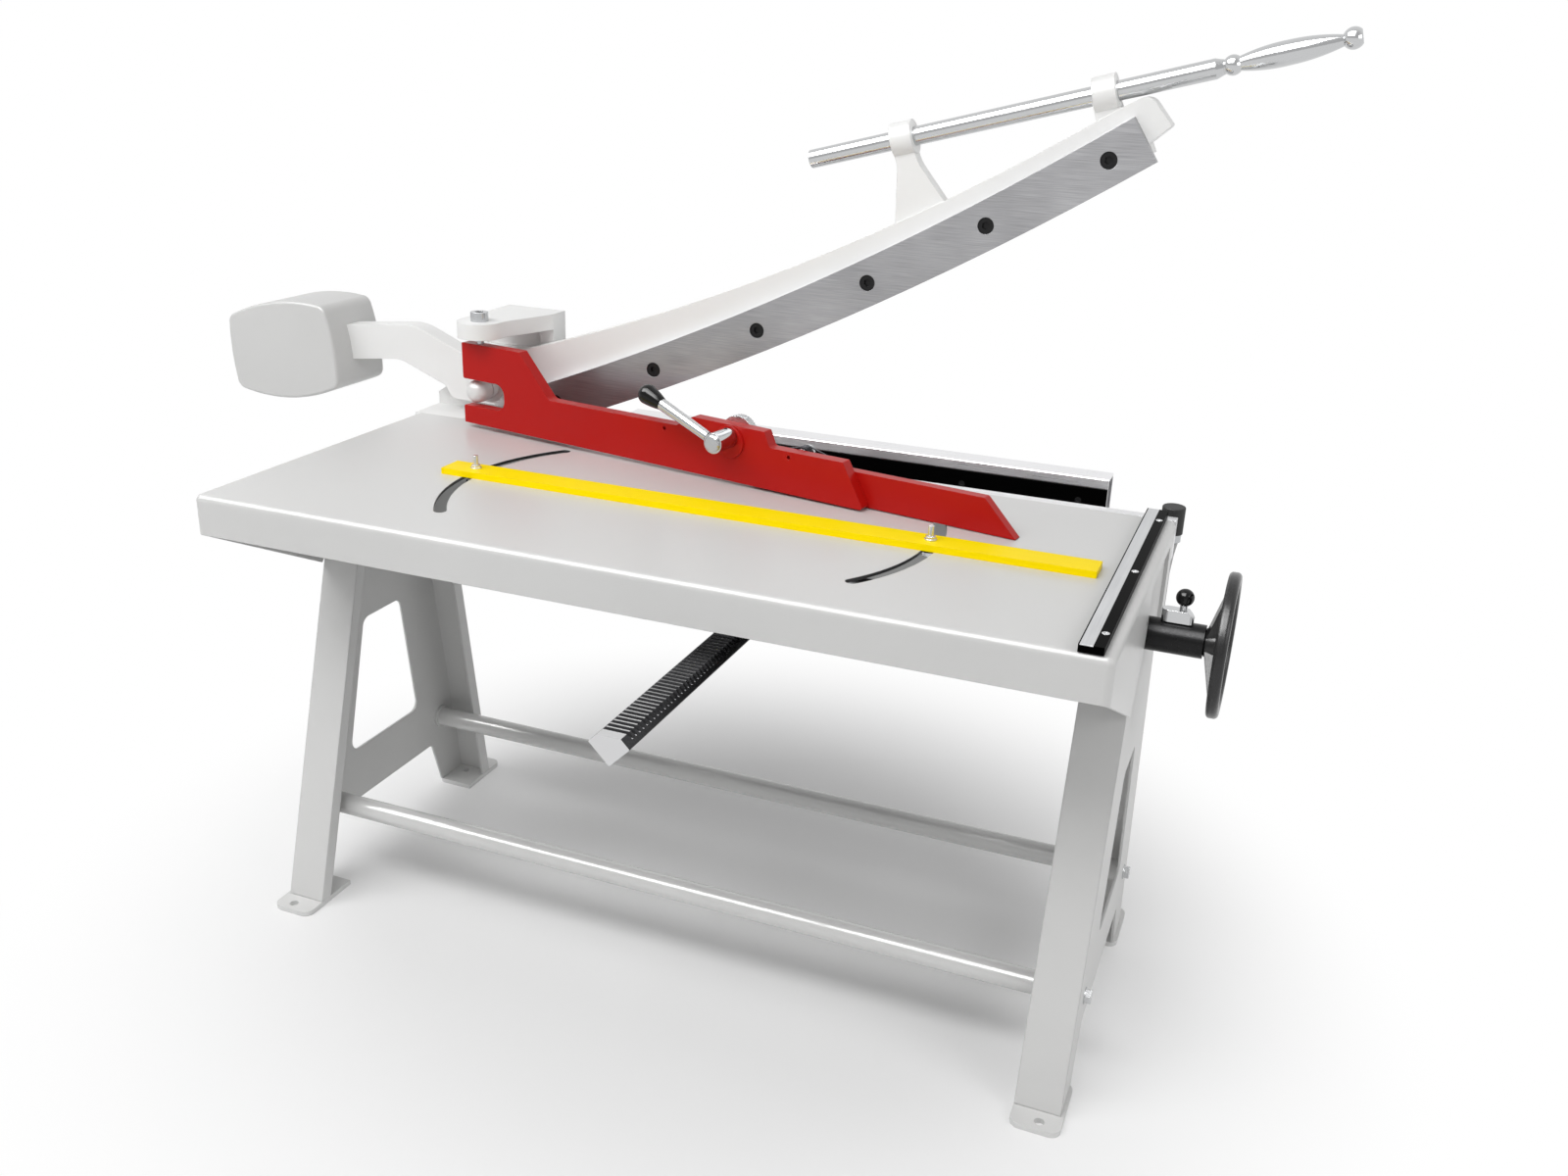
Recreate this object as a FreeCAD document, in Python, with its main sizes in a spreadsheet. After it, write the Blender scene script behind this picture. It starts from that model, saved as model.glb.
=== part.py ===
import FreeCAD, Part
import math
import os
import re
from types import SimpleNamespace
from FreeCAD import Placement, Rotation, Vector

# Guillotine shear on two sheet legs.
# X runs along the table's length, Y from its front edge to the rear, Z up from the floor.
# The origin is the middle of the four outer anchor holes, at floor level.
# Driving sizes in millimetres and degrees, each written once.
DRIVING = {
    # table and lower blade
    "table_length": 1300, "table_depth": 556, "table_height": 731, "table_skin": 5,
    "edge_radius": 10, "apron_drop": 59.4, "panel_drop": 185, "panel_slope": 250,
    "rear_beam": 18, "front_overhang": 79, "lower_blade_thick": 20, "lower_blade_drop": 60,
    "lower_blade_start": 100, "lower_screw_inset": 60, "lower_screw_count": 7,
    "lower_screw_sunk": 7,
    "port_low_front": 252, "port_knee_back": 300, "port_knee_height": 54,
    "port_high_front": 317, "port_high_height": 94, "port_height": 159, "port_rear": 500,
    "port_lean": 3, "port_corner": 8, "rack_window_room": 15.2, "rack_window_low": 66,
    "rack_window_high": 8,
    # screws and bolts: shank and head radii
    "m5_shank": 2.5, "m5_head": 4.7, "m6_shank": 3, "m6_head": 5, "m8_shank": 4, "m8_head": 6.5,
    "m8_flat_head": 7, "m10_shank": 5, "m12_shank": 6, "m12_head": 9, "m16_shank": 8,
    "m16_head": 12, "blade_head": 11.7, "hex_half": 9.5, "washer_radius": 12, "washer_thick": 2,
    # legs, feet and stretchers
    "leg_sheet": 4, "leg_reach": 70, "leg_front_foot": 97, "leg_front_lean": 0.2907,
    "leg_rear_foot": 600, "leg_rear_lean": 0.145, "leg_foot_width": 68, "lip_width": 22,
    "band_bottom": 93, "band_front": 206, "band_rear": 505,
    "window_bottom": 186, "window_top": 416, "window_radius": 18, "window_front": 275,
    "window_rear_low": 470, "window_rear_high": 439, "window_inset": 5,
    "band_corner": 12, "web_rear": 515, "web_gap": 16, "web_shoulder": 3, "flange_circle": 31.5,
    "anchor_span": 544, "anchor_inset": 30, "anchor_radius": 7, "anchor_edge": 16,
    "inner_anchor_edge": 62, "foot_length": 108.6, "foot_thick": 8, "foot_radius": 15,
    "tube_radius": 17, "tube_wall": 2.5, "tube_height": 140, "tube_front": 197, "tube_rear": 538,
    "plug_rim": 21, "plug_flange": 5, "plug_depth": 18,
    # arm, upper blade and pivot
    "pivot_inset": 145, "pivot_rise": 60.5, "arm_raise": 25.4, "arm_thick": 36,
    "shear_gap": 0.2, "blade_thick": 14, "blade_width": 67.6, "blade_arc": 5034,
    "blade_arc_back": 671, "blade_arc_low": 78.4, "blade_start": 60, "blade_end_inset": 16,
    "blade_screw_first": 104, "blade_screw_step": 197.7, "blade_screw_count": 6,
    "blade_screw_end": 54, "blade_screw_sunk": 9,
    "arm_below_blade_mid": 12, "arm_top_arc": 3768,
    "hub_bore": 23, "pin_radius": 18, "facing_height": 3.5, "facing_radius": 40,
    "pin_nut_length": 22,
    "dome_radius": 20, "dome_reach": 80, "collar_radius": 27, "collar_length": 27,
    "handle_radius": 13.5, "handle_inset": 467, "handle_rise": 126.5, "handle_slope": 10.73,
    "handle_length": 596, "handle_taper": 10, "handle_end": 10, "grip_length": 170.5,
    "grip_neck_length": 2, "grip_neck": 9.5, "grip_ring_length": 18.9, "grip_ring": 13.4,
    "grip_swell_length": 61, "grip_swell": 16, "grip_bow": 2.2, "grip_waist": 7.5,
    "grip_ball_radius": 14.2, "grip_face": 9,
    "lug_first": 148, "lug_second": 441, "lug_radius": 24.5, "lug_length": 32, "lug_web": 24,
    "weight_back": 367, "weight_rise": 197.6, "weight_tilt": 19.9, "weight_depth": 134,
    "weight_corner": 18, "weight_edge": 5, "weight_screw_sunk": 12,
    # bracket that carries the pivot and the hold-down
    "wall_thick": 40, "wall_left": -5, "wall_right": 234, "wall_drop": 131,
    "bracket_bolt_first": 30, "bracket_bolt_step": 40, "bracket_toe_bolt": 125,
    "bracket_bolt_low": 106, "bracket_bolt_high": 36,
    "over_arm_bottom": 156, "over_arm_top": 182, "nose_radius": 37,
    "foot_block_right": 95, "foot_block_low": 190,
    # hold-down with its clamp lever
    "beam_turn": 9.84, "beam_start": 127.2, "beam_front": 493.6, "beam_thick": 20,
    "beam_length": 766, "beam_height": 144, "swing_bolt_along": 33, "swing_bolt_radius": 6,
    "clamp_along": 535, "clamp_rise": 73, "clamp_shaft_radius": 9, "clamp_hub_radius": 15.5,
    "clamp_nose_radius": 12.5, "clamp_nose_length": 4,
    "clamp_reach": 50, "clamp_disc_radius": 28.5, "clamp_disc_thick": 14, "lever_tilt": 156.7,
    "lever_length": 107, "lever_foot": 8, "lever_tip": 9, "lever_cap_length": 41,
    "lever_cap_radius": 15, "lever_cap_swell": 25, "lever_spigot": 5,
    "extension_start": 566, "extension_end": 991.5,
    "extension_height": 52, "extension_thick": 16,
    "spring_along": 648, "spring_rise": 62.6, "spring_radius": 9, "spring_wire": 1.25,
    "spring_turns": 3, "spring_pitch": 3.8, "spring_leg": 42,
    # angle stop, side rail and buffer
    "stop_pivot_along": 2, "stop_pivot_back": 268.5, "stop_left": 404, "stop_right_inset": 65,
    "stop_width": 44, "stop_thick": 9.5, "stop_slot_radius": 290.5, "stop_slot_width": 18,
    "stop_slot_spread": 69.3, "stop_slot_front": 36, "stop_slot_rear": 36.5,
    "stop_stud_radius": 4, "stop_stud_circle": 356.5, "stop_pin_radius": 6,
    "stop_nut_across": 13, "stop_nut_height": 5.5, "stop_flange_radius": 8.5,
    "stop_head_radius": 13, "stop_head_height": 5, "stop_stud_rise": 20,
    "rail_inset": 44, "rail_width": 30, "rail_height": 10, "rail_front": 3, "rail_rear": 550,
    "rail_screw_along": 23.5, "rail_screw_sunk": 2.5, "rail_lip": 1.5,
    "scale_width": 15.5, "scale_thick": 1.2,
    "buffer_inset": 10, "buffer_back": 588, "buffer_radius": 17, "buffer_height": 41,
    "buffer_seat_height": 12, "buffer_seat_radius": 15.5, "buffer_plate": 10,
    "buffer_plate_width": 42, "buffer_screw_near": 10, "buffer_screw_far": 30,
    "buffer_shelf": 33, "buffer_shelf_thick": 12, "buffer_low": 20, "buffer_rib": 29,
    # back gauge, rack and handwheel
    "rack_along": 772, "rack_side": 38, "rack_front": -201, "gauge_back": 636,
    "gear_module": 3, "gear_teeth": 14, "gear_width": 30, "gear_slack": 0.35,
    "wheel_shaft_back": 345, "wheel_shaft_drop": 100.4, "wheel_shaft_radius": 9,
    "gauge_length": 826, "gauge_depth": 44, "gauge_above": 19, "gauge_below": 41,
    "gauge_wall": 4, "gauge_face_thick": 3, "gauge_face_height": 44, "face_screw_inset": 43,
    "face_screw_rise": 22, "face_screw_count": 5, "carrier_half": 33, "carrier_drop": 3,
    "housing_front": 240, "housing_length": 140, "housing_gap": 31, "housing_cheek": 12,
    "housing_flange": 22, "housing_reach": 64, "housing_screw_across": 53,
    "housing_screw_inset": 15, "housing_guide": 50, "rack_axis_drop": 30,
    "guide_thick": 30, "guide_reach": 48, "guide_screw_across": 40, "guide_screw_up": 36,
    "guide_screw_seat": 13,
    "bush_radius": 14, "bush_length": 24,
    "sleeve_radius": 23, "sleeve_reach": 73, "sleeve_flange": 40, "wheel_radius": 98.5,
    "wheel_rim": 16, "wheel_rim_depth": 17, "wheel_hub_length": 16, "wheel_hub_radius": 19,
    "wheel_boss_radius": 23, "spoke_width": 22, "spoke_count": 3, "spoke_turn": 20,
    "lock_out": 22, "lock_length": 43, "lock_width": 18, "lock_height": 17,
    "lock_ball_radius": 12, "lock_ball_rise": 18, "lock_stem": 12, "lock_stem_inset": 15.5,
    # clearances
    "fit": 0.05, "run": 0.3,
}

# Places that follow from the driving sizes.
DERIVED = {
    "left_end": "-table_length / 2",
    "right_end": "table_length / 2",
    "front_edge": "-anchor_span / 2 - front_overhang",
    "cut_plane": "-anchor_span / 2 - front_overhang + table_depth",
    "pivot_x": "-table_length / 2 + pivot_inset",
    "pivot_z": "table_height + pivot_rise",
    "lower_screw_pitch":
        "(table_length - lower_blade_start - 2 * lower_screw_inset) / (lower_screw_count - 1)",
    "blade_end": "table_length - pivot_inset - blade_end_inset",
    "blade_arc_mid": "table_length - pivot_inset - blade_end_inset - blade_arc_back",
    "wall_bottom": "table_height - wall_drop",
    "wheel_shaft_height": "table_height - wheel_shaft_drop",
    "gauge_top": "table_height + gauge_above",
    "gauge_bottom": "table_height - gauge_below",
}

doc = FreeCAD.newDocument("guillotine_shear")
sheet = doc.addObject("Spreadsheet::Sheet", "Size")
for row, (name, value) in enumerate(list(DRIVING.items()) + list(DERIVED.items()), start=1):
    sheet.set("A%d" % row, name)
    sheet.set("B%d" % row, "=" + value if isinstance(value, str) else str(value))
    sheet.setAlias("B%d" % row, name)
doc.recompute()
NAMES = list(DRIVING) + list(DERIVED)
s = SimpleNamespace(**{name: float(sheet.get(name)) for name in NAMES})
nodes = []
PLANES = {"x": "YZ_Plane", "y": "XZ_Plane", "z": "XY_Plane"}
TURNS = {"x": Rotation(Vector(0, 1, 0), 90), "y": Rotation(Vector(1, 0, 0), -90), "z": Rotation()}
UP = Vector(0, 0, 1)
BACK = Vector(0, 1, 0)
RIGHT = Vector(1, 0, 0)


def cells(text):
    """Turn a formula on size names into one on the sheet's cells."""
    return re.sub(r"[a-z][a-z0-9_]*",
                  lambda word: "Size." + word.group() if word.group() in NAMES else word.group(),
                  text)


def bind(thing, prop, text):
    thing.setExpression(prop, cells(text))


def place(thing, at):
    for axis, text in zip("xyz", at):
        bind(thing, "Placement.Base." + axis, text)


def keep(thing, node):
    """Give the finished piece its own label and list it for the hand-over."""
    thing.Label = node
    nodes.append(thing)
    return thing


def box(size, at, name="block"):
    thing = doc.addObject("Part::Box", name)
    for prop, text in zip(("Length", "Width", "Height"), size):
        bind(thing, prop, text)
    place(thing, at)
    return thing


def cylinder(radius, length, at, axis="z", name="round"):
    thing = doc.addObject("Part::Cylinder", name)
    thing.Placement = Placement(Vector(), TURNS[axis])
    bind(thing, "Radius", radius)
    bind(thing, "Height", length)
    place(thing, at)
    return thing


def feature(shape, frame=Placement(), name="shaped"):
    """Hold a shape made by formula, placed in the given frame."""
    thing = doc.addObject("Part::Feature", name)
    thing.Shape = shape
    thing.Placement = frame
    return thing


def fuse(*things):
    joined = doc.addObject("Part::MultiFuse", "joined")
    joined.Shapes = list(things)
    joined.Refine = True
    return joined


def together(*things):
    """Several separate solids in one piece."""
    bunch = doc.addObject("Part::Compound", "bunch")
    bunch.Links = list(things)
    return bunch


def cut(base, *tools):
    holed = doc.addObject("Part::Cut", "holed")
    holed.Base = base
    holed.Tool = tools[0] if len(tools) == 1 else together(*tools)
    return holed


def outline(points, sags=None):
    """Closed sketch edges through corner points (x, y) or (x, y, radius).

    sags gives a side, by the number of its first corner, a bow of that height to its left.
    """
    sags = sags or {}
    corners = [Vector(point[0], point[1], 0) for point in points]
    count = len(corners)
    ends = []
    arcs = {}
    for i, corner in enumerate(corners):
        if len(points[i]) < 3:
            ends.append((corner, corner))
            continue
        radius = points[i][2]
        before = (corners[i - 1] - corner).normalize()
        after = (corners[(i + 1) % count] - corner).normalize()
        half = before.getAngle(after) / 2
        inward = (before + after).normalize()
        centre = corner + inward * (radius / math.sin(half))
        reach = radius / math.tan(half)
        first = corner + before * reach
        last = corner + after * reach
        arcs[i] = Part.Arc(first, centre - inward * radius, last)
        ends.append((first, last))
    edges = []
    for i in range(count):
        if i in arcs:
            edges.append(arcs[i])
        start = ends[i][1]
        stop = ends[(i + 1) % count][0]
        along = stop - start
        if i in sags:
            left = Vector(-along.y, along.x, 0).normalize()
            edges.append(Part.Arc(start, (start + stop) / 2 + left * sags[i], stop))
        elif along.Length > 1e-6:
            edges.append(Part.LineSegment(start, stop))
    return edges


def ring(x, y, radius):
    return [Part.Circle(Vector(x, y, 0), UP, radius)]


def body(name):
    return doc.addObject("PartDesign::Body", name)


def sketch(owner, axis, edges, start):
    """Draw edges on the plane across the given axis, at the place that start names."""
    drawing = owner.newObject("Sketcher::SketchObject", owner.Name + "_sketch")
    plane = [part for part in owner.Origin.OriginFeatures if part.Role == PLANES[axis]][0]
    drawing.AttachmentSupport = [(plane, "")]
    drawing.MapMode = "FlatFace"
    drawing.addGeometry(edges, False)
    bind(drawing, "AttachmentOffset.Base.z", "-(%s)" % start if axis == "y" else start)
    return drawing


def pad(owner, axis, edges, start, length):
    thing = owner.newObject("PartDesign::Pad", owner.Name + "_pad")
    thing.Profile = sketch(owner, axis, edges, start)
    bind(thing, "Length", length)
    thing.Reversed = axis == "y"
    return thing


def pocket(owner, axis, edges, start, length):
    """Cut away from the plane at start towards the axis's far side."""
    thing = owner.newObject("PartDesign::Pocket", owner.Name + "_pocket")
    thing.Profile = sketch(owner, axis, edges, start)
    bind(thing, "Length", length)
    thing.Reversed = axis != "y"
    return thing


def turned(name, points, frame=Placement(), sags=None):
    """A lathe piece: its outline gives the place along X and the radius, turned about X."""
    piece = body(name)
    thing = piece.newObject("PartDesign::Revolution", name + "_turning")
    drawing = sketch(piece, "z", outline(points, sags), "0")
    thing.Profile = drawing
    thing.ReferenceAxis = (drawing, ["H_Axis"])
    thing.Angle = 360
    piece.Tip = thing
    piece.Placement = frame
    return piece


def round_edges(owner, radius, wanted):
    """Round the edges of the body's last feature that the test picks."""
    doc.recompute()
    last = owner.Tip
    picked = ["Edge%d" % (i + 1) for i, edge in enumerate(last.Shape.Edges) if wanted(edge)]
    thing = owner.newObject("PartDesign::Fillet", owner.Name + "_rounding")
    thing.Base = (last, picked)
    bind(thing, "Radius", radius)
    return thing


def lies_along(edge, axis):
    """True for a straight edge parallel to the axis vector."""
    if len(edge.Vertexes) != 2:
        return False
    run = edge.Vertexes[1].Point - edge.Vertexes[0].Point
    return abs(abs(run.normalize().dot(axis)) - 1) < 1e-6


def hexagon(across, height):
    corner = across / math.sqrt(3)
    points = [Vector(corner * math.cos(k * math.pi / 3), corner * math.sin(k * math.pi / 3), 0)
              for k in range(7)]
    return Part.Face(Part.makePolygon(points)).extrude(Vector(0, 0, height))


def screw(shank_radius, shank_length, head_radius, head_height, head="socket"):
    """One fastener: the head's seat is at the origin and the shank runs towards +Z."""
    shank = Part.makeCylinder(shank_radius, shank_length)
    if head == "hex":
        top = hexagon(head_radius * 2, head_height)
    else:
        top = Part.makeCylinder(head_radius, head_height)
    top.translate(Vector(0, 0, -head_height))
    piece = shank.fuse(top)
    if head != "hex":
        key = hexagon(head_radius * 0.9, head_height * 0.5)
        key.translate(Vector(0, 0, -head_height))
        piece = piece.cut(key)
    return piece.removeSplitter()


def set_out(shape, places):
    """Copies of a shape at each (point, direction), its +Z turned to the direction."""
    copies = []
    for point, way in places:
        copy = shape.copy()
        copy.Placement = Placement(point, Rotation(UP, way))
        copies.append(copy)
    return Part.makeCompound(copies)


def bores(places, radius, length, lead=1):
    """Drill shapes for the same places, starting a little ahead of them."""
    drill = Part.makeCylinder(radius, length + lead, Vector(0, 0, -lead))
    return set_out(drill, places)


def from_left(x):
    return s.left_end + x


def from_front(y):
    return s.front_edge + y


# Table body: a folded shell with a stiff rear beam that carries the lower blade
def table_profile(shrink, open_bottom):
    """Side view of the table body, or of its inside when shrunk by the wall."""
    low = s.table_height - s.panel_drop - open_bottom
    return [
        (from_front(shrink), s.table_height - s.apron_drop - open_bottom),
        (from_front(s.panel_slope), low),
        (s.cut_plane - s.lower_blade_thick - (s.rear_beam if shrink else 0), low),
        (s.cut_plane - s.lower_blade_thick - (s.rear_beam if shrink else 0),
         s.table_height - shrink),
        (from_front(shrink), s.table_height - shrink),
    ]


def slot_edges(side):
    """One arc slot beside the stop's pivot; side is 1 for the right one, -1 for the left."""
    centre = Vector(s.stop_pivot_along + side * s.stop_slot_spread,
                    from_front(s.stop_pivot_back), 0)
    half = s.stop_slot_width / 2

    def at(radius, degrees):
        turn = math.radians(degrees)
        return centre + Vector(side * radius * math.cos(turn), radius * math.sin(turn), 0)

    low = -s.stop_slot_front
    high = s.stop_slot_rear
    mid = (low + high) / 2
    nub = math.degrees(half / s.stop_slot_radius)
    inner = s.stop_slot_radius - half
    outer = s.stop_slot_radius + half
    return [
        Part.Arc(at(inner, low), at(inner, mid), at(inner, high)),
        Part.Arc(at(inner, high), at(s.stop_slot_radius, high + nub), at(outer, high)),
        Part.Arc(at(outer, high), at(outer, mid), at(outer, low)),
        Part.Arc(at(outer, low), at(s.stop_slot_radius, low - nub), at(inner, low)),
    ]


table = body("table_shell")
pad(table, "x", outline(table_profile(0, 0)), "left_end", "table_length")
doc.recompute()


def table_rim(edge):
    """Upper front edge, upper end edges and the two front corners."""
    box_of = edge.BoundBox
    at_front = box_of.YMax < s.front_edge + 1
    at_top = box_of.ZMin > s.table_height - 1
    at_end = box_of.XMin > s.right_end - 1 or box_of.XMax < s.left_end + 1
    return (at_front and at_top) or (at_end and (at_front or at_top))


round_edges(table, "edge_radius", table_rim)
pocket(table, "x", outline(table_profile(s.table_skin, s.edge_radius)),
       "left_end + table_skin", "table_length - 2 * table_skin")
for side in (1, -1):
    pocket(table, "z", slot_edges(side), "table_height - 2 * table_skin", "3 * table_skin")
rack_x = from_left(s.rack_along)
rack_window = s.rack_side / 2 + s.rack_window_room
window_low = s.wheel_shaft_height - s.rack_window_low
window_high = s.wheel_shaft_height + s.rack_window_high
pocket(table, "y", outline([
    (rack_x - rack_window, window_low, s.port_corner),
    (rack_x + rack_window, window_low, s.port_corner),
    (rack_x + rack_window, window_high, s.port_corner),
    (rack_x - rack_window, window_high, s.port_corner),
]), "cut_plane - lower_blade_thick - 2 * rear_beam", "3 * rear_beam")
panel_low = s.table_height - s.panel_drop
port_top = panel_low + s.port_height
pocket(table, "x", outline([
    (from_front(s.port_low_front), panel_low),
    (from_front(s.port_knee_back), panel_low + s.port_knee_height),
    (from_front(s.port_high_front), panel_low + s.port_high_height),
    (from_front(s.port_high_front) + s.port_lean, port_top, s.port_corner),
    (from_front(s.port_rear), port_top, s.port_corner), (from_front(s.port_rear), panel_low),
]), "left_end - 1", "table_length + 2")
pocket(table, "z", ring(s.stop_pivot_along, from_front(s.stop_pivot_back),
                        s.stop_pin_radius + s.fit), "table_height - 2 * table_skin",
       "3 * table_skin")

# Places of the fasteners that go into the table
blade_top = s.table_height - s.lower_blade_drop / 2
first_screw = s.lower_blade_start + s.lower_screw_inset
lower_screws = [(Vector(from_left(first_screw + k * s.lower_screw_pitch),
                        s.cut_plane - s.lower_screw_sunk, blade_top), -BACK)
                for k in range(int(s.lower_screw_count))]
beam_front = s.cut_plane - s.lower_blade_thick - s.rear_beam
bolt_low = s.table_height - s.bracket_bolt_low
bolt_high = s.table_height - s.bracket_bolt_high
bracket_bolts = [(Vector(from_left(start + step), beam_front, z), BACK)
                 for start, heights in ((s.bracket_bolt_first, (bolt_low, bolt_high)),
                                        (s.bracket_toe_bolt, (bolt_low,)))
                 for step in (0, s.bracket_bolt_step) for z in heights]
under_top = s.table_height - s.table_skin
rear_face = s.cut_plane - s.lower_blade_thick
rack_axis = s.wheel_shaft_height - s.rack_axis_drop
housing_screws = [(Vector(rack_x + dx, from_front(s.housing_front + dy),
                          under_top - s.housing_flange), UP)
                  for dx in (-s.housing_screw_across, s.housing_screw_across)
                  for dy in (s.housing_screw_inset, s.housing_length - s.housing_screw_inset)]
guide_screws = [(Vector(rack_x + dx, beam_front - s.guide_screw_seat, rack_axis + dz), BACK)
                for dx in (-s.guide_screw_across, s.guide_screw_across)
                for dz in (-s.guide_screw_up, s.guide_screw_up)]
buffer_screws = [(Vector(s.right_end - inset, rear_face + s.buffer_plate, bolt_low), -BACK)
                 for inset in (s.buffer_screw_far, s.buffer_screw_near)]
carcase_screws = housing_screws + guide_screws + buffer_screws
rail_x = s.right_end - s.rail_inset
rail_top = s.table_height + s.rail_height
RAIL_SCREWS = (47, 270, 499)
rail_screws = [(Vector(rail_x + s.rail_screw_along, from_front(y), rail_top - s.rail_screw_sunk),
                -UP) for y in RAIL_SCREWS]
shaft_y = from_front(s.wheel_shaft_back)
shaft_z = s.wheel_shaft_height
inner_web = s.right_end - s.table_skin - s.leg_sheet
LEG_SCREWS = ((285, 52), (303, 114), (508, 44), (508, 134))
leg_screws = [(Vector(side * inner_web, from_front(y), panel_low + z), RIGHT * side)
              for side in (-1, 1) for y, z in LEG_SCREWS]
flange_screws = [(Vector(inner_web - s.leg_sheet, shaft_y + s.flange_circle * math.cos(turn),
                         shaft_z + s.flange_circle * math.sin(turn)), RIGHT)
                 for turn in (math.pi / 2, math.pi * 7 / 6, math.pi * 11 / 6)]

carcase_screw_length = 25
rail_screw_length = 11.5
leg_screw_length = s.leg_sheet + s.table_skin
table_holes = [
    feature(bores(lower_screws, s.m8_shank + s.fit, s.lower_blade_thick + 6)),
    feature(bores(bracket_bolts, s.m16_shank + s.fit, 2 * s.rear_beam)),
    feature(bores(carcase_screws, s.m8_shank + s.fit, carcase_screw_length)),
    feature(bores(rail_screws, s.m5_shank + s.fit, rail_screw_length + 1)),
    feature(bores(leg_screws, s.m8_shank + s.fit, leg_screw_length + 1)),
]
keep(cut(table, *table_holes), "table_body")

# Lower blade, flush with the table's top, and its screws sunk in the cutting face
lower = body("lower_blade_bar")
pad(lower, "x", outline([
    (s.cut_plane - s.lower_blade_thick, s.table_height - s.lower_blade_drop),
    (s.cut_plane, s.table_height - s.lower_blade_drop),
    (s.cut_plane, s.table_height),
    (s.cut_plane - s.lower_blade_thick, s.table_height),
]), "left_end + lower_blade_start", "table_length - lower_blade_start")
lower_screw_length = 25
keep(cut(lower, feature(bores(lower_screws, s.m8_shank + s.fit, s.lower_blade_thick)),
         feature(bores(lower_screws, s.m8_flat_head + s.fit, 0, s.lower_screw_sunk + 1))),
     "lower_blade")
keep(feature(set_out(screw(s.m8_shank, lower_screw_length, s.m8_flat_head,
                           s.lower_screw_sunk - 0.5), lower_screws)), "lower_blade_screws")


# Legs: a sheet bent round both edges, with a window and a notch between the feet
def fold_front(z):
    return from_front(s.leg_front_foot + s.leg_front_lean * z)


def fold_rear(z):
    return from_front(s.leg_rear_foot - s.leg_rear_lean * z)


def leg(node, side):
    """side is -1 for the left leg and 1 for the right one."""
    piece = body(node + "_sheet")
    low = s.foot_thick
    mid = panel_low - 1
    high = s.table_height - s.web_gap
    front_sheet = s.leg_sheet * math.hypot(1, s.leg_front_lean)
    rear_sheet = s.leg_sheet * math.hypot(1, s.leg_rear_lean)
    web = outline([
        (fold_front(low), low), (fold_front(low) + s.leg_foot_width, low),
        (from_front(s.band_front), s.band_bottom, s.band_corner),
        (from_front(s.band_rear), s.band_bottom, s.band_corner),
        (fold_rear(low) - s.leg_foot_width, low), (fold_rear(low), low),
        (fold_rear(mid), mid), (from_front(s.web_rear), mid + s.web_shoulder),
        (from_front(s.web_rear), high),
        (fold_front(high), high),
    ])
    window_lean = s.leg_front_lean * (s.window_top - s.window_bottom) - s.window_inset
    window = outline([
        (from_front(s.window_front), s.window_bottom, s.window_radius),
        (from_front(s.window_rear_low), s.window_bottom, s.window_radius),
        (from_front(s.window_rear_high), s.window_top, s.window_radius),
        (from_front(s.window_front + window_lean), s.window_top, s.window_radius),
    ])
    # The left leg is drawn where it stands; the right one is its mirror about X = 0.
    if side < 0:
        web_start = "left_end + table_skin"
        flange_start = web_start
        lip_start = "left_end + leg_reach - leg_sheet"
    else:
        web_start = "right_end - table_skin - leg_sheet"
        flange_start = "right_end - leg_reach"
        lip_start = flange_start
    pad(piece, "x", web, web_start, "leg_sheet")
    flange = "leg_reach - table_skin"
    pad(piece, "x", outline([
        (fold_front(low), low), (fold_front(low) + front_sheet, low),
        (fold_front(high) + front_sheet, high), (fold_front(high), high)]), flange_start, flange)
    pad(piece, "x", outline([
        (fold_rear(low) - rear_sheet, low), (fold_rear(low), low),
        (fold_rear(mid), mid), (fold_rear(mid) - rear_sheet, mid)]), flange_start, flange)
    pad(piece, "x", outline([
        (fold_front(low), low), (fold_front(low) + s.lip_width, low),
        (fold_front(high) + s.lip_width, high), (fold_front(high), high)]), lip_start, "leg_sheet")
    pad(piece, "x", outline([
        (fold_rear(low) - s.lip_width, low), (fold_rear(low), low),
        (fold_rear(mid), mid), (fold_rear(mid) - s.lip_width, mid)]), lip_start, "leg_sheet")
    pocket(piece, "x", window, web_start + " - leg_sheet", "3 * leg_sheet")
    web_face = side * (inner_web + s.leg_sheet)
    bolts = [(Vector(web_face, from_front(y), s.tube_height), RIGHT * -side)
             for y in (s.tube_front, s.tube_rear)]
    holes = [bores(bolts, s.m12_shank + s.fit, s.leg_sheet + 1),
             bores([point_way for point_way in leg_screws if point_way[0].x * side > 0],
                   s.m8_shank + s.fit, s.leg_sheet + 1)]
    if side > 0:
        holes.append(bores(flange_screws, s.m8_shank + s.fit, leg_screw_length + 1))
        holes.append(Part.makeCylinder(s.sleeve_radius + s.fit, 3 * s.leg_sheet,
                                       Vector(inner_web - s.leg_sheet, shaft_y, shaft_z), RIGHT))
    keep(cut(piece, feature(Part.makeCompound(holes))), node)
    return bolts


tube_bolts = leg("leg_left", -1) + leg("leg_right", 1)
leg_screw = screw(s.m8_shank, leg_screw_length, s.m8_head, 5, "hex")
keep(feature(set_out(leg_screw, leg_screws + flange_screws)), "leg_screws")

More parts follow.
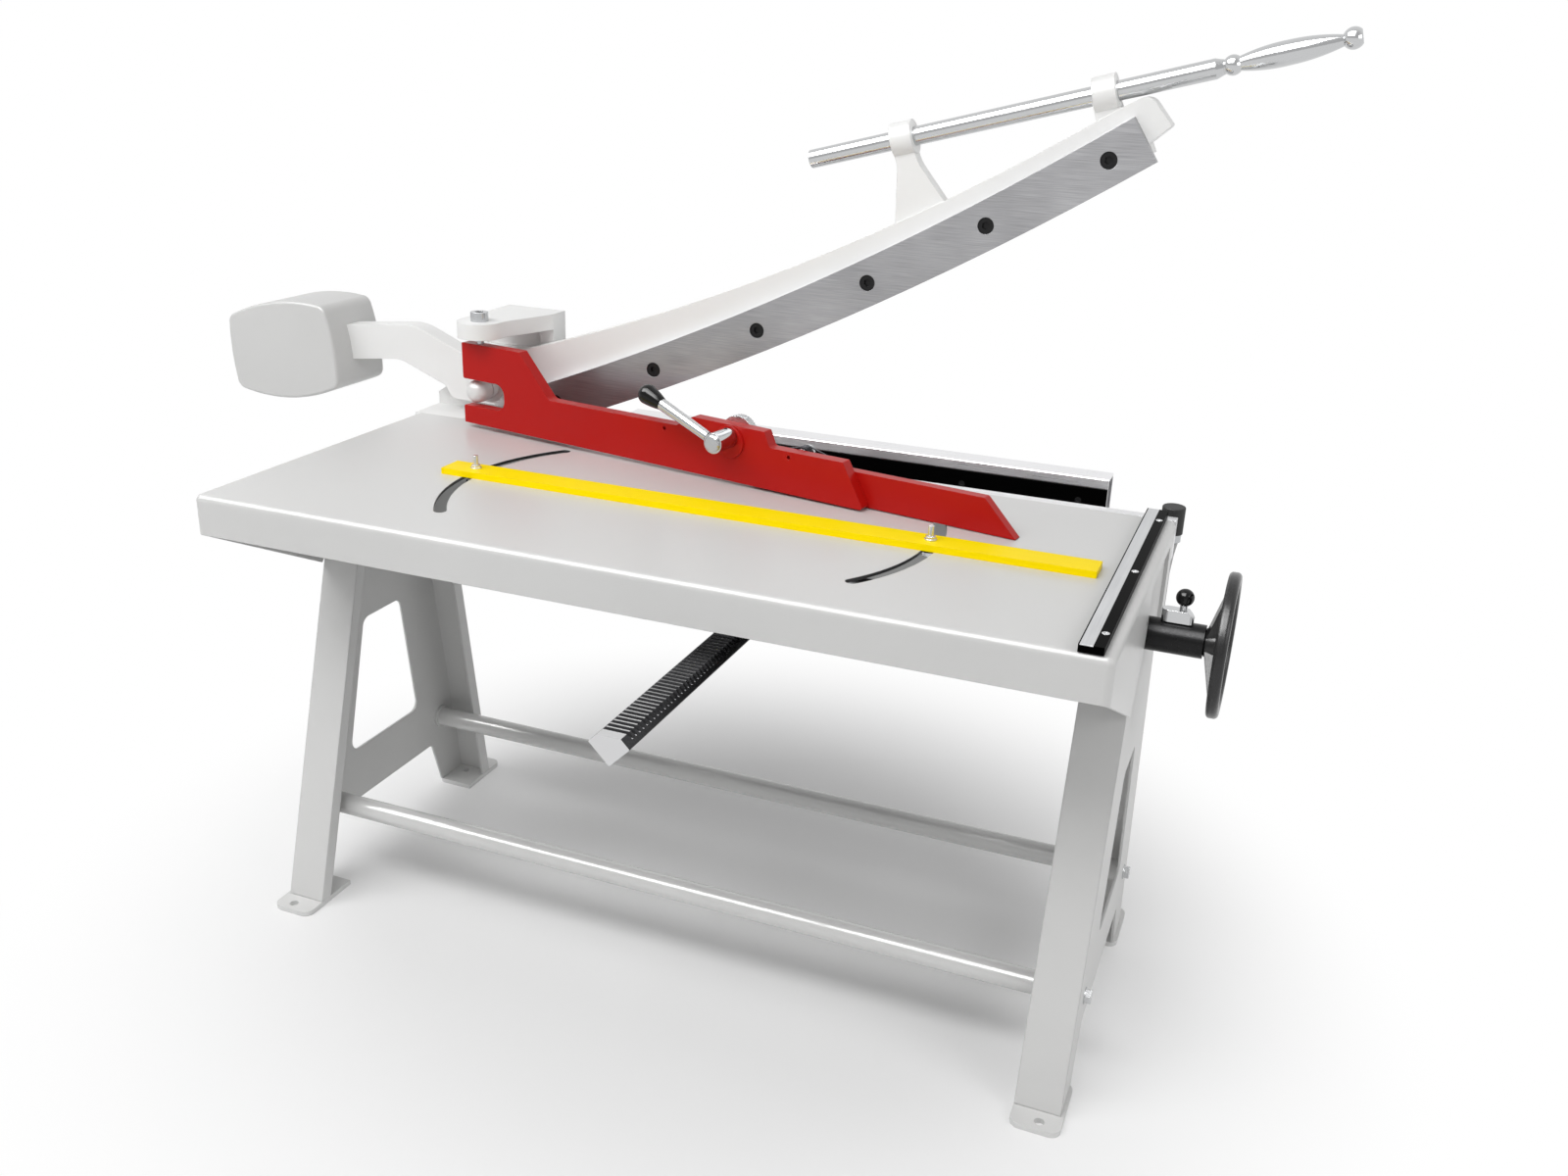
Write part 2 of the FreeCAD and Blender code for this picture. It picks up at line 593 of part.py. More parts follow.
# Foot plates with rounded corners, an outer and an inner anchor hole each
foot_holes = []
feet = []
for side in (-1, 1):
    outer_x = side * s.right_end
    inner_x = outer_x - side * s.leg_reach
    for end in (-1, 1):
        outer_y = end * (s.anchor_span / 2 + s.anchor_edge)
        inner_y = outer_y - end * s.foot_length
        plate = body("foot")
        pad(plate, "z", outline([
            (inner_x, inner_y), (outer_x, inner_y, s.foot_radius),
            (outer_x, outer_y, s.foot_radius), (inner_x, outer_y, s.foot_radius)]),
            "0", "foot_thick")
        for edge in (s.anchor_edge, s.inner_anchor_edge):
            pocket(plate, "z", ring(outer_x - side * s.anchor_inset, outer_y - end * edge,
                                    s.anchor_radius), "-1", "foot_thick + 2")
        feet.append(plate)
keep(together(*feet), "foot_plates")

# Stretchers: tubes with welded end plugs, bolted through the webs
tubes = []
for k, back in enumerate(("tube_front", "tube_rear")):
    start = "left_end + table_skin + leg_sheet"
    length = "table_length - 2 * (table_skin + leg_sheet)"
    at = (start, "front_edge + " + back, "tube_height")
    hollow_at = (start + " + plug_flange + plug_depth",) + at[1:]
    hollow = length + " - 2 * (plug_flange + plug_depth)"
    ends = [(point + way * s.leg_sheet, way) for point, way in tube_bolts[k::2]]
    rims = feature(set_out(Part.makeCylinder(s.plug_rim, s.plug_flange), ends))
    tubes.append(cut(fuse(cylinder("tube_radius", length, at, "x"), rims),
                     cylinder("tube_radius - tube_wall", hollow, hollow_at, "x"),
                     feature(bores(ends, s.m12_shank + s.fit, s.plug_flange + s.plug_depth))))
keep(together(*tubes), "stretcher_tubes")
tube_bolt = screw(s.m12_shank, s.plug_depth + 6, s.hex_half, s.hex_half, "hex").fuse(
    Part.makeCylinder(s.washer_radius, s.washer_thick, Vector(0, 0, -s.washer_thick)))
keep(feature(set_out(tube_bolt.removeSplitter(), tube_bolts)), "stretcher_bolts")

# Arm group, drawn closed with the pivot at the origin and the arm's front face at Y = 0
arm_front = s.cut_plane + s.shear_gap + s.blade_thick
arm_frame = Placement(Vector(s.pivot_x, arm_front, s.pivot_z), Rotation(BACK, -s.arm_raise))
arc_centre = s.blade_arc - s.blade_arc_low


def blade_mid(u, offset=0):
    """Height of the blade's middle line at u, or of a line that runs offset below it."""
    return arc_centre - math.sqrt((s.blade_arc + offset) ** 2 - (u - s.blade_arc_mid) ** 2)


def sagitta(radius, chord):
    return radius - math.sqrt(radius ** 2 - chord ** 2 / 4)


half_blade = s.blade_width / 2
pad_left = s.blade_end - 34
pad_right = s.blade_end + 2
pad_height = blade_mid(s.blade_end) - 20
arm_tail = [(-114, 148), (-300, 215), (-325, 158), (-171, 105)]
low_left = (s.blade_start, blade_mid(s.blade_start, s.arm_below_blade_mid))
low_right = (pad_left, blade_mid(pad_left, s.arm_below_blade_mid))
top_right = (pad_left + 11, 18)
top_left = (s.blade_start + 14, 36)
arm = body("arm_plate")
pad(arm, "y", outline([
    (pad_right + 34, -30, 3), (pad_right + 20.5, 21, 18), top_right, top_left,
    (-34, 60, 60), arm_tail[0] + (90,), arm_tail[1], arm_tail[2], arm_tail[3] + (60,),
    (-104, 33, 8), (-101, 7, 10), low_left, low_right, (pad_left + 5, pad_height),
    (pad_right, pad_height), (pad_right, -40)],
    {2: sagitta(s.arm_top_arc, top_right[0] - top_left[0]),
     11: -sagitta(s.blade_arc + s.arm_below_blade_mid, low_right[0] - low_left[0])}),
    "0", "arm_thick")
handle_way = Vector(math.cos(math.radians(s.handle_slope)), 0,
                    -math.sin(math.radians(s.handle_slope)))
handle_foot = Vector(s.blade_end - s.handle_inset, s.arm_thick / 2, s.handle_rise)


def on_handle(along):
    return handle_foot + handle_way * along


first = on_handle(s.lug_first)
second = on_handle(s.lug_second)
web_start = "(arm_thick - lug_web) / 2"
pad(arm, "y", outline([
    (first.x - 60, -25), (first.x - 53, -6, 6), (first.x - 20, first.z - 30, 40),
    (first.x - 20, first.z), (first.x + 11, first.z), (first.x + 10, first.z - 40, 60),
    (first.x + 27, -6, 6), (first.x + 34, -25)]), web_start, "lug_web")
pad(arm, "y", outline([
    (second.x - 26, -20), (second.x - 20, second.z), (second.x + 14, second.z - 8),
    (second.x + 16, -20)]), web_start, "lug_web")
collars = [Part.makeCylinder(s.lug_radius, s.lug_length, on_handle(along - s.lug_length / 2),
                             handle_way) for along in (s.lug_first, s.lug_second)]
handle_hole = Part.makeCylinder(s.handle_radius + s.fit, s.handle_length, on_handle(0), handle_way)
pivot_hole = Part.makeCylinder(s.hub_bore + s.fit, s.arm_thick + 2, Vector(0, -1, 0), BACK)
screw_places = [s.blade_screw_first + k * s.blade_screw_step
                for k in range(int(s.blade_screw_count) - 1)] + [s.blade_end - s.blade_screw_end]
screw_angle = [math.asin((along - s.blade_arc_mid) / s.blade_arc) for along in screw_places]
blade_screws = [(Vector(s.blade_arc_mid + s.blade_arc * math.sin(turn),
                        -s.blade_thick + s.blade_screw_sunk,
                        arc_centre - s.blade_arc * math.cos(turn)), BACK)
                for turn in screw_angle]
lug_screws = [(on_handle(along) + BACK * (s.lug_radius + 1), -BACK)
              for along in (s.lug_first, s.lug_second)]
weight_rear = (s.arm_thick + s.weight_depth) / 2
WEIGHT_BOLTS = ((78, -38), (88, -8))
weight_bolts = [(Vector(-s.weight_back + dx, weight_rear - s.weight_screw_sunk,
                        s.weight_rise + dz), -BACK) for dx, dz in WEIGHT_BOLTS]
weight_bolt_length = 88
blade_screw_length = 28
casting = doc.addObject("Part::MultiFuse", "arm_rough")
casting.Shapes = [arm, feature(Part.makeCompound(collars))]
keep(cut(casting, feature(handle_hole), feature(pivot_hole),
         feature(bores(blade_screws, s.m12_shank + s.fit, blade_screw_length + 1)),
         feature(bores(lug_screws, s.m10_shank + s.fit, 16)),
         feature(bores(weight_bolts, s.m12_shank + s.fit, weight_bolt_length + 2))),
     "arm_casting").Placement = arm_frame

# Upper blade: a band along its arc with radial ends and counterbored screws
inner_arc = s.blade_arc - half_blade
outer_arc = s.blade_arc + half_blade


def on_arc(radius, u):
    turn = math.asin((u - s.blade_arc_mid) / s.blade_arc)
    return (s.blade_arc_mid + radius * math.sin(turn), arc_centre - radius * math.cos(turn))


blade_corners = [on_arc(outer_arc, s.blade_start), on_arc(outer_arc, s.blade_end),
                 on_arc(inner_arc, s.blade_end), on_arc(inner_arc, s.blade_start)]
lower_chord = blade_corners[1][0] - blade_corners[0][0]
upper_chord = blade_corners[2][0] - blade_corners[3][0]
blade = body("upper_blade_band")
pad(blade, "y", outline(blade_corners, {0: -sagitta(outer_arc, lower_chord),
                                        2: sagitta(inner_arc, upper_chord)}),
    "-blade_thick", "blade_thick")
keep(cut(blade, feature(bores(blade_screws, s.m12_shank + s.fit, s.blade_thick)),
         feature(bores(blade_screws, s.blade_head + s.run, 0, s.blade_screw_sunk + 1))),
     "upper_blade").Placement = arm_frame
blade_screw = screw(s.m12_shank, blade_screw_length, s.blade_head, s.blade_screw_sunk - 1.5)
keep(feature(set_out(blade_screw, blade_screws), arm_frame), "blade_screws")

# Handle bar, its grip and the screws that hold it in the lugs
handle_frame = arm_frame.multiply(Placement(on_handle(0), Rotation(RIGHT, handle_way)))
grip = s.handle_length
spigot = grip + 120
keep(turned("handle_bar_turned", [
    (0, 0), (0, s.handle_radius - 1), (1, s.handle_radius),
    (grip - s.handle_taper, s.handle_radius), (grip, s.handle_end), (grip, s.m12_shank),
    (spigot, s.m12_shank), (spigot, 0)], handle_frame), "handle_bar")
grip_end = grip + s.grip_length
ring_start = grip + s.grip_neck_length
grip_start = ring_start + s.grip_ring_length
knob_reach = math.sqrt(s.grip_ball_radius ** 2 - s.grip_waist ** 2)
knob_flat = math.sqrt(s.grip_ball_radius ** 2 - s.grip_face ** 2)
knob_start = grip_end - knob_flat - knob_reach
knob_sag = sagitta(s.grip_ball_radius,
                   math.hypot(grip_end - knob_start, s.grip_waist - s.grip_face))
grip_bows = {2: s.grip_ring - s.grip_neck, 3: s.grip_bow, 4: s.grip_bow, 5: knob_sag}
keep(turned("handle_grip_turned", [
    (grip, s.m12_shank + s.fit), (grip, s.handle_end), (ring_start, s.grip_neck),
    (grip_start, s.grip_neck), (grip_start + s.grip_swell_length, s.grip_swell),
    (knob_start, s.grip_waist), (grip_end, s.grip_face), (grip_end, 0), (spigot + s.run, 0),
    (spigot + s.run, s.m12_shank + s.fit)], handle_frame, grip_bows), "handle_grip")
set_screw_sunk = 3
set_screw_length = s.lug_radius + 1 - set_screw_sunk - s.handle_radius - s.fit
set_screw = screw(s.m10_shank, set_screw_length, s.m10_shank, 3)
keep(feature(set_out(set_screw, [(point - BACK * set_screw_sunk, way)
                                 for point, way in lug_screws]), arm_frame), "lug_set_screws")

# Counterweight: a rounded block with a seat that the arm's end enters
weight_frame = arm_frame.multiply(Placement(
    Vector(-s.weight_back, s.arm_thick / 2, s.weight_rise), Rotation(BACK, s.weight_tilt)))
weight = body("weight_block")
WEIGHT_CORNERS = [(-113, -66), (110, -65), (104, 77), (-108, 62)]
WEIGHT_BOWS = {0: -20, 1: -7, 2: -17, 3: -5}
pad(weight, "y", outline(WEIGHT_CORNERS, WEIGHT_BOWS), "-weight_depth / 2", "weight_depth")
round_edges(weight, "weight_corner", lambda edge: lies_along(edge, BACK))
round_edges(weight, "weight_edge", lambda edge: edge.BoundBox.YLength < 0.01)
seat = body("weight_seat")
pad(seat, "y", outline(arm_tail), "-fit", "arm_thick + 2 * fit")
seat.Placement = arm_frame
weight.Placement = weight_frame
weight_drill = feature(bores(weight_bolts, s.m12_shank + s.fit, weight_bolt_length + 2), arm_frame)
weight_sink = feature(bores(weight_bolts, s.m12_head + 1, 0, s.weight_screw_sunk + 2), arm_frame)
keep(cut(weight, seat, weight_drill, weight_sink), "counterweight")
weight_bolt = screw(s.m12_shank, weight_bolt_length, s.m12_head, 8)
keep(feature(set_out(weight_bolt, weight_bolts), arm_frame), "counterweight_bolts")

# Pivot: pin fixed in the bracket, bush in the arm, collar and domed end in front
bracket_front = arm_front + s.arm_thick + s.run + s.facing_height
bracket_back = bracket_front + s.wall_thick
hub_bush = Part.makeCylinder(s.hub_bore, s.arm_thick, Vector(), BACK).cut(
    Part.makeCylinder(s.pin_radius + s.fit, s.arm_thick, Vector(), BACK))
keep(feature(hub_bush, arm_frame), "pivot_bush")
pin_frame = Placement(Vector(s.pivot_x, arm_front - s.dome_reach, s.pivot_z),
                      Rotation(UP, 90))
pin_end = bracket_back - arm_front + s.dome_reach + s.pin_nut_length + 6
neck = s.dome_reach - s.collar_length
keep(turned("pivot_pin_turned", [
    (0, 0), (14, s.dome_radius - 1), (33, s.dome_radius), (33, 16), (neck - 14, 16),
    (neck - 14, s.pin_radius), (pin_end - 2, s.pin_radius), (pin_end, s.pin_radius - 2),
    (pin_end, 0)], pin_frame, {0: 4.5}), "pivot_pin")
keep(feature(Part.makeCylinder(s.collar_radius, s.collar_length, Vector(0, -s.collar_length, 0),
                               BACK).cut(
    Part.makeCylinder(s.pin_radius + s.fit, s.collar_length, Vector(0, -s.collar_length, 0), BACK)),
    Placement(Vector(s.pivot_x, arm_front, s.pivot_z), Rotation())), "pivot_collar")
pin_nut = hexagon(54, s.pin_nut_length).cut(
    Part.makeCylinder(s.pin_radius + s.fit, s.pin_nut_length))
keep(feature(set_out(pin_nut, [(Vector(s.pivot_x, bracket_back, s.pivot_z), BACK)])), "pivot_nut")

# Hold-down group, drawn with the beam's lower left front corner at the origin
beam_frame = Placement(Vector(from_left(s.beam_start), from_front(s.beam_front), s.table_height),
                       Rotation(UP, -s.beam_turn))
beam_mid = s.beam_thick / 2
swing_point = beam_frame.multVec(Vector(s.swing_bolt_along, beam_mid, 0))
over_bottom = s.table_height + s.over_arm_bottom
over_top = s.table_height + s.over_arm_top

# Bracket: foot on the table's rear beam, wall behind the arm and an arm over it
bracket = body("bracket_casting")
wall_left = from_left(s.wall_left)
wall_right = from_left(s.wall_right)
facing_start = "cut_plane + shear_gap + blade_thick + arm_thick + run"
wall_start = facing_start + " + facing_height"
pad(bracket, "y", outline([
    (wall_left, s.wall_bottom, 6), (wall_right, s.wall_bottom, 6), (wall_right, over_top),
    (from_left(121), over_top, 6), (from_left(60), s.table_height + 100, 30),
    (wall_left + 19, s.table_height + 34, 6), (wall_left, s.table_height + 21)]),
    wall_start, "wall_thick")
pad(bracket, "y", ring(s.pivot_x, s.pivot_z, s.facing_radius), facing_start, "facing_height")
foot_front = s.cut_plane - s.lower_blade_thick
pad(bracket, "z", outline([
    (wall_left, foot_front), (from_left(s.foot_block_right), foot_front),
    (from_left(s.foot_block_right), bracket_front + 1), (wall_left, bracket_front + 1)]),
    "wall_bottom", "table_height - wall_bottom")
low_top = s.table_height - s.lower_blade_drop - 6
pad(bracket, "x", outline([
    (foot_front, s.wall_bottom), (bracket_front + 1, s.wall_bottom),
    (bracket_front + 1, low_top), (foot_front, low_top)]),
    "left_end + foot_block_right", "foot_block_low - foot_block_right")
pad(bracket, "z", outline([
    (swing_point.x - s.nose_radius, bracket_back), (swing_point.x - s.nose_radius,
                                                    swing_point.y - s.nose_radius, 36.9),
    (swing_point.x + s.nose_radius, swing_point.y - s.nose_radius, 36.9),
    (swing_point.x + s.nose_radius, swing_point.y + 15, 60),
    (wall_right, bracket_front), (wall_right, bracket_back)]),
    "table_height + over_arm_bottom", "over_arm_top - over_arm_bottom")
pocket(bracket, "y", outline([
    (from_left(100), s.table_height + 120, 6), (from_left(207), s.table_height + 120, 6),
    (from_left(207), over_bottom - 6, 6), (from_left(100), over_bottom - 6, 6)]),
    wall_start, "wall_thick / 4")
swing_bore = cylinder("swing_bolt_radius + fit", "over_arm_top - over_arm_bottom + 2",
                      ("0", "0", "table_height + over_arm_bottom - 1"))
swing_bore.setExpression("Placement.Base.x", str(swing_point.x))
swing_bore.setExpression("Placement.Base.y", str(swing_point.y))
pin_bore = cylinder("pin_radius + fit", "facing_height + wall_thick + 2",
                    ("pivot_x", facing_start + " - 1", "pivot_z"), "y")
bracket_bolt_length = 50
keep(cut(bracket, swing_bore, pin_bore,
         feature(bores(bracket_bolts, s.m16_shank + s.fit, bracket_bolt_length + 5))),
     "pivot_bracket")
keep(feature(set_out(screw(s.m16_shank, bracket_bolt_length, s.m16_head, 12), bracket_bolts)),
     "bracket_bolts")

# Hold-down beam with a slot for the pivot's domed end
beam = body("beam_plate")
clamp_centre = (s.clamp_along, s.clamp_rise)
pad(beam, "y", outline([
    (0, 9), (s.beam_length, 3, 4), (s.beam_length - 37.5, 68.4, 3), (605, 68.4, 6),
    (595, 91, 3), (467, 93, 5), (437, 75, 8), (185, 74, 14), (124, s.beam_height, 4),
    (0, s.beam_height, 2), (0, 84, 3), (89, 84, 18), (89, 39, 18), (0, 39, 3)]),
    "0", "beam_thick")
pad(beam, "y", ring(s.clamp_along, s.clamp_rise - 7, 25), "-3", "3")
for along, rise in ((414.6, 66.4), (638, 59.5)):
    pocket(beam, "y", ring(along, rise, 3), "-1", "beam_thick / 3")
clamp_bore = Part.makeCylinder(s.clamp_shaft_radius + s.fit, s.beam_thick + 8,
                               Vector(s.clamp_along, -6, s.clamp_rise), BACK)
swing_drill = Part.makeCylinder(s.swing_bolt_radius + s.fit, 46,
                                Vector(s.swing_bolt_along, beam_mid, s.beam_height - 45), UP)
EXTENSION_SCREWS = (590, 665, 735)
extension_head = 6
extension_screws = [(Vector(along, s.beam_thick + s.extension_thick - extension_head,
                            s.extension_height / 2 + 1), -BACK) for along in EXTENSION_SCREWS]
extension_screw_length = 26
spring_bolt = [(Vector(s.spring_along, s.beam_thick, s.spring_rise), -BACK)]
spring_bolt_length = 13
keep(cut(beam, feature(clamp_bore), feature(swing_drill),
         feature(bores(extension_screws, s.m8_shank + s.fit, extension_screw_length + 1)),
         feature(bores(spring_bolt, s.m6_shank + s.fit, spring_bolt_length + 1))),
     "hold_down_beam").Placement = beam_frame
swing_length = s.over_arm_top - s.beam_height + 42
swing_bolt = screw(s.swing_bolt_radius, swing_length, 14.5, 15)
keep(feature(set_out(swing_bolt, [(Vector(swing_point.x, swing_point.y, over_top), -UP)])),
     "swing_bolt")

# Extension bar screwed to the rear of the beam's right end
extension = body("extension_plate")
pad(extension, "y", outline([
    (s.extension_start, 3), (s.extension_end, 1), (s.extension_end - 50, s.extension_height, 5),
    (s.extension_start, s.extension_height, 5)]), "beam_thick", "extension_thick")
keep(cut(extension,
         feature(bores(extension_screws, s.m8_shank + s.fit, extension_screw_length + 1)),
         feature(bores(extension_screws, s.m8_flat_head + s.fit, 0, extension_head + 2))),
     "hold_down_extension").Placement = beam_frame
extension_screw = screw(s.m8_shank, extension_screw_length, s.m8_flat_head, extension_head - 0.5)
keep(feature(set_out(extension_screw, extension_screws), beam_frame), "extension_screws")

# Clamp: shaft through the beam, hub and lever in front, knurled disc behind
clamp_frame = beam_frame.multiply(Placement(Vector(s.clamp_along, -s.clamp_reach, s.clamp_rise),
                                            Rotation(UP, 90)))
shaft_end = s.clamp_reach + s.beam_thick + s.clamp_disc_thick + 4
keep(turned("clamp_shaft_turned", [
    (8, 0), (8, s.clamp_shaft_radius), (shaft_end - 1.5, s.clamp_shaft_radius),
    (shaft_end, s.clamp_shaft_radius - 1.5), (shaft_end, 0)], clamp_frame), "clamp_shaft")
hub_end = s.clamp_reach - 4 - s.run
lever_point = Vector(s.clamp_along, -s.clamp_reach + 12, s.clamp_rise)
lever_way = Vector(math.cos(math.radians(s.lever_tilt)), 0, math.sin(math.radians(s.lever_tilt)))
lever_frame = beam_frame.multiply(Placement(lever_point, Rotation(RIGHT, lever_way)))
hub_blind = 8 - s.run
lever_root = 9.2
grub_top = Vector(s.clamp_along, -12, s.clamp_rise + s.clamp_hub_radius + 0.5)
grub_head = 2
grub_length = s.clamp_hub_radius - s.clamp_shaft_radius - grub_head - 0.1
hub = turned("clamp_hub_turned", [
    (0, 0), (0, s.clamp_nose_radius - 1.5), (1.5, s.clamp_nose_radius),
    (s.clamp_nose_length, s.clamp_nose_radius), (s.clamp_nose_length, s.clamp_hub_radius),
    (hub_end, s.clamp_hub_radius), (hub_end, s.clamp_shaft_radius + s.fit),
    (hub_blind, s.clamp_shaft_radius + s.fit), (hub_blind, 0)], clamp_frame)
hub_holes = Part.makeCompound([
    Part.makeCylinder(s.m8_shank + s.fit, s.clamp_hub_radius,
                      lever_point + lever_way * (lever_root - 0.7), lever_way),
    Part.makeCylinder(s.m5_shank + s.fit, s.clamp_hub_radius - s.clamp_shaft_radius + 1,
                      grub_top, -UP)])
keep(cut(hub, feature(hub_holes, beam_frame)), "clamp_hub")
grub = screw(s.m5_shank, grub_length, s.m5_shank, grub_head)
keep(feature(set_out(grub, [(grub_top - UP * grub_head, -UP)]), beam_frame), "clamp_grub_screw")
cap_start = s.lever_length
lever_seat = s.clamp_hub_radius + 2 * s.run
spigot_end = cap_start + 26
keep(turned("lever_rod_turned", [
    (lever_root, 0), (lever_root, s.m8_shank), (lever_seat, s.m8_shank),
    (lever_seat, s.lever_foot), (cap_start, s.lever_tip), (cap_start, s.lever_spigot),
    (spigot_end, s.lever_spigot), (spigot_end, 0)], lever_frame), "clamp_lever")
cap_end = cap_start + s.lever_cap_length
cap_bows = {1: 0.6, 2: 5}
keep(turned("lever_cap_turned", [
    (cap_start, s.lever_spigot + s.fit), (cap_start, s.lever_tip + 0.5),
    (cap_start + s.lever_cap_swell, s.lever_cap_radius), (cap_end, 2), (cap_end, 0),
    (spigot_end + s.run, 0), (spigot_end + s.run, s.lever_spigot + s.fit)],
    lever_frame, cap_bows), "clamp_lever_cap")
notches = 40
disc = Part.makeCylinder(s.clamp_disc_radius, s.clamp_disc_thick)
disc = disc.cut(Part.makeCylinder(s.clamp_shaft_radius + s.fit, s.clamp_disc_thick))
flutes = []
for k in range(notches):
    turn = 2 * math.pi * k / notches
    reach = s.clamp_disc_radius + 0.4
    flutes.append(Part.makeCylinder(1.2, s.clamp_disc_thick,
                                    Vector(reach * math.cos(turn), reach * math.sin(turn), 0)))
disc = disc.cut(Part.makeCompound(flutes))
keep(feature(set_out(disc, [(Vector(s.clamp_along, s.beam_thick + s.run, s.clamp_rise), BACK)]),
             beam_frame), "clamp_disc")


# Torsion spring on its bolt behind the beam
def biarc(start, start_way, stop, stop_way):
    """Two tangent arcs from one point and direction to another."""
    span = stop - start
    both = start_way + stop_way
    spread = 2 * (1 - start_way.dot(stop_way))
    dot = span.dot(both)
    reach = (-dot + math.sqrt(dot * dot + spread * span.dot(span))) / spread
    knee_a = start + start_way * reach
    knee_b = stop - stop_way * reach
    joint = (knee_a + knee_b) / 2
    arcs = []
    for first_end, knee, last_end in ((start, knee_a, joint), (joint, knee_b, stop)):
        one = (first_end - knee).normalize()
        two = (last_end - knee).normalize()
        inward = (one + two).normalize()
        half = one.getAngle(two) / 2
        arc_radius = reach * math.tan(half)
        middle = knee + inward * (reach / math.cos(half) - arc_radius)
        arcs.append(Part.Arc(first_end, middle, last_end).toShape())
    return arcs


def coil_point(turn):
    depth = s.beam_thick + s.spring_wire + 3.5 - s.spring_pitch * (turn - spring_from) / 360
    angle = math.radians(turn)
    return Vector(s.spring_along + s.spring_radius * math.cos(angle), depth,
                  s.spring_rise + s.spring_radius * math.sin(angle))


def coil_way(turn):
    angle = math.radians(turn)
    climb = s.spring_pitch / (2 * math.pi * s.spring_radius)
    return Vector(math.sin(angle), climb, -math.cos(angle)).normalize()


spring_from = 105.0
spring_to = 72.0 - 360 * s.spring_turns
steps = int(round((spring_from - spring_to) / 90))
turns = [spring_from + (spring_to - spring_from) * k / steps for k in range(steps + 1)]
first_point = coil_point(spring_from) - coil_way(spring_from) * s.spring_leg
last_point = coil_point(spring_to) + coil_way(spring_to) * s.spring_leg
wire_edges = [Part.LineSegment(first_point, coil_point(spring_from)).toShape()]
for one, two in zip(turns, turns[1:]):
    wire_edges += biarc(coil_point(one), coil_way(one), coil_point(two), coil_way(two))
wire_edges.append(Part.LineSegment(coil_point(spring_to), last_point).toShape())
spring_path = Part.Wire(wire_edges)
profile = Part.Wire(Part.Circle(first_point, coil_way(spring_from), s.spring_wire).toShape())
spring_pipe = spring_path.makePipeShell([profile], True, False)
least_gap = s.spring_pitch * math.cos(math.atan(s.spring_pitch / (
    2 * math.pi * s.spring_radius))) - 2 * s.spring_wire
print("torsion spring: least gap between turns %.2f mm" % least_gap)
keep(feature(spring_pipe, beam_frame), "torsion_spring")
shoulder = s.spring_pitch * (s.spring_turns + 1) + 3.5
shoulder_bolt = Part.makeCylinder(s.m6_shank, spring_bolt_length).fuse([
    Part.makeCylinder(s.spring_radius - s.spring_wire - s.run, shoulder, Vector(0, 0, -shoulder)),
    hexagon(2 * s.spring_radius, 5).translated(Vector(0, 0, -shoulder - 5))])
keep(feature(set_out(shoulder_bolt.removeSplitter(), spring_bolt), beam_frame), "spring_bolt")

# Angle stop: a bar that turns on a pin and is clamped by studs in the arc slots
stop_x = s.stop_pivot_along
stop_y = from_front(s.stop_pivot_back)
studs = [Vector(stop_x + side * s.stop_stud_circle, stop_y, s.table_height) for side in (-1, 1)]
bar = body("stop_plate")
stop_start = stop_x - s.stop_left
stop_end = s.right_end - s.stop_right_inset
stop_front = stop_y - s.stop_width / 2
stop_rear = stop_y + s.stop_width / 2
pad(bar, "z", outline([(stop_start, stop_front), (stop_end, stop_front), (stop_end, stop_rear),
                       (stop_start, stop_rear)]), "table_height", "stop_thick")
pad(bar, "z", ring(stop_x, stop_y, s.stop_pin_radius), "table_height - table_skin",
    "table_skin + 1")
for stud in studs:
    pocket(bar, "z", ring(stud.x, stud.y, s.stop_stud_radius + s.fit), "table_height - 1",
           "stop_thick + 2")
keep(bar, "stop_bar")
stud_low = s.table_skin + s.run + s.stop_head_height
stud_high = s.stop_thick + s.stop_stud_rise
stud_shape = Part.makeCylinder(s.stop_stud_radius, stud_low + stud_high,
                               Vector(0, 0, -stud_low)).fuse(
    Part.makeCylinder(s.stop_head_radius, s.stop_head_height, Vector(0, 0, -stud_low)))
keep(feature(set_out(stud_shape.removeSplitter(), [(stud, UP) for stud in studs])), "stop_studs")
nut = hexagon(s.stop_nut_across, s.stop_nut_height).fuse(
    Part.makeCylinder(s.stop_flange_radius, 2)).cut(
    Part.makeCylinder(s.stop_stud_radius + s.fit, s.stop_nut_height))
keep(feature(set_out(nut.removeSplitter(), [(stud + UP * s.stop_thick, UP) for stud in studs])),
     "stop_nuts")

# Side rail with its inlaid scale
rail = body("rail_bar")
groove_left = rail_x + s.rail_lip
groove_right = groove_left + s.scale_width
pad(rail, "y", outline([
    (rail_x, s.table_height), (rail_x + s.rail_width, s.table_height),
    (rail_x + s.rail_width, rail_top), (groove_right, rail_top),
    (groove_right, rail_top - s.scale_thick), (groove_left, rail_top - s.scale_thick),
    (groove_left, rail_top), (rail_x, rail_top)]),
    "front_edge + rail_front", "rail_rear - rail_front")
keep(cut(rail, feature(bores(rail_screws, s.m5_shank + s.fit, s.rail_height)),
         feature(bores(rail_screws, s.m5_head + s.run, 0, s.rail_screw_sunk + 1))), "side_rail")
keep(box(("scale_width - 2 * fit", "rail_rear - rail_front", "scale_thick"),
         ("right_end - rail_inset + rail_lip + fit", "front_edge + rail_front",
          "table_height + rail_height - scale_thick")), "rail_scale")
rail_screw = screw(s.m5_shank, rail_screw_length, s.m5_head, s.rail_screw_sunk)
keep(feature(set_out(rail_screw, rail_screws)), "rail_screws")

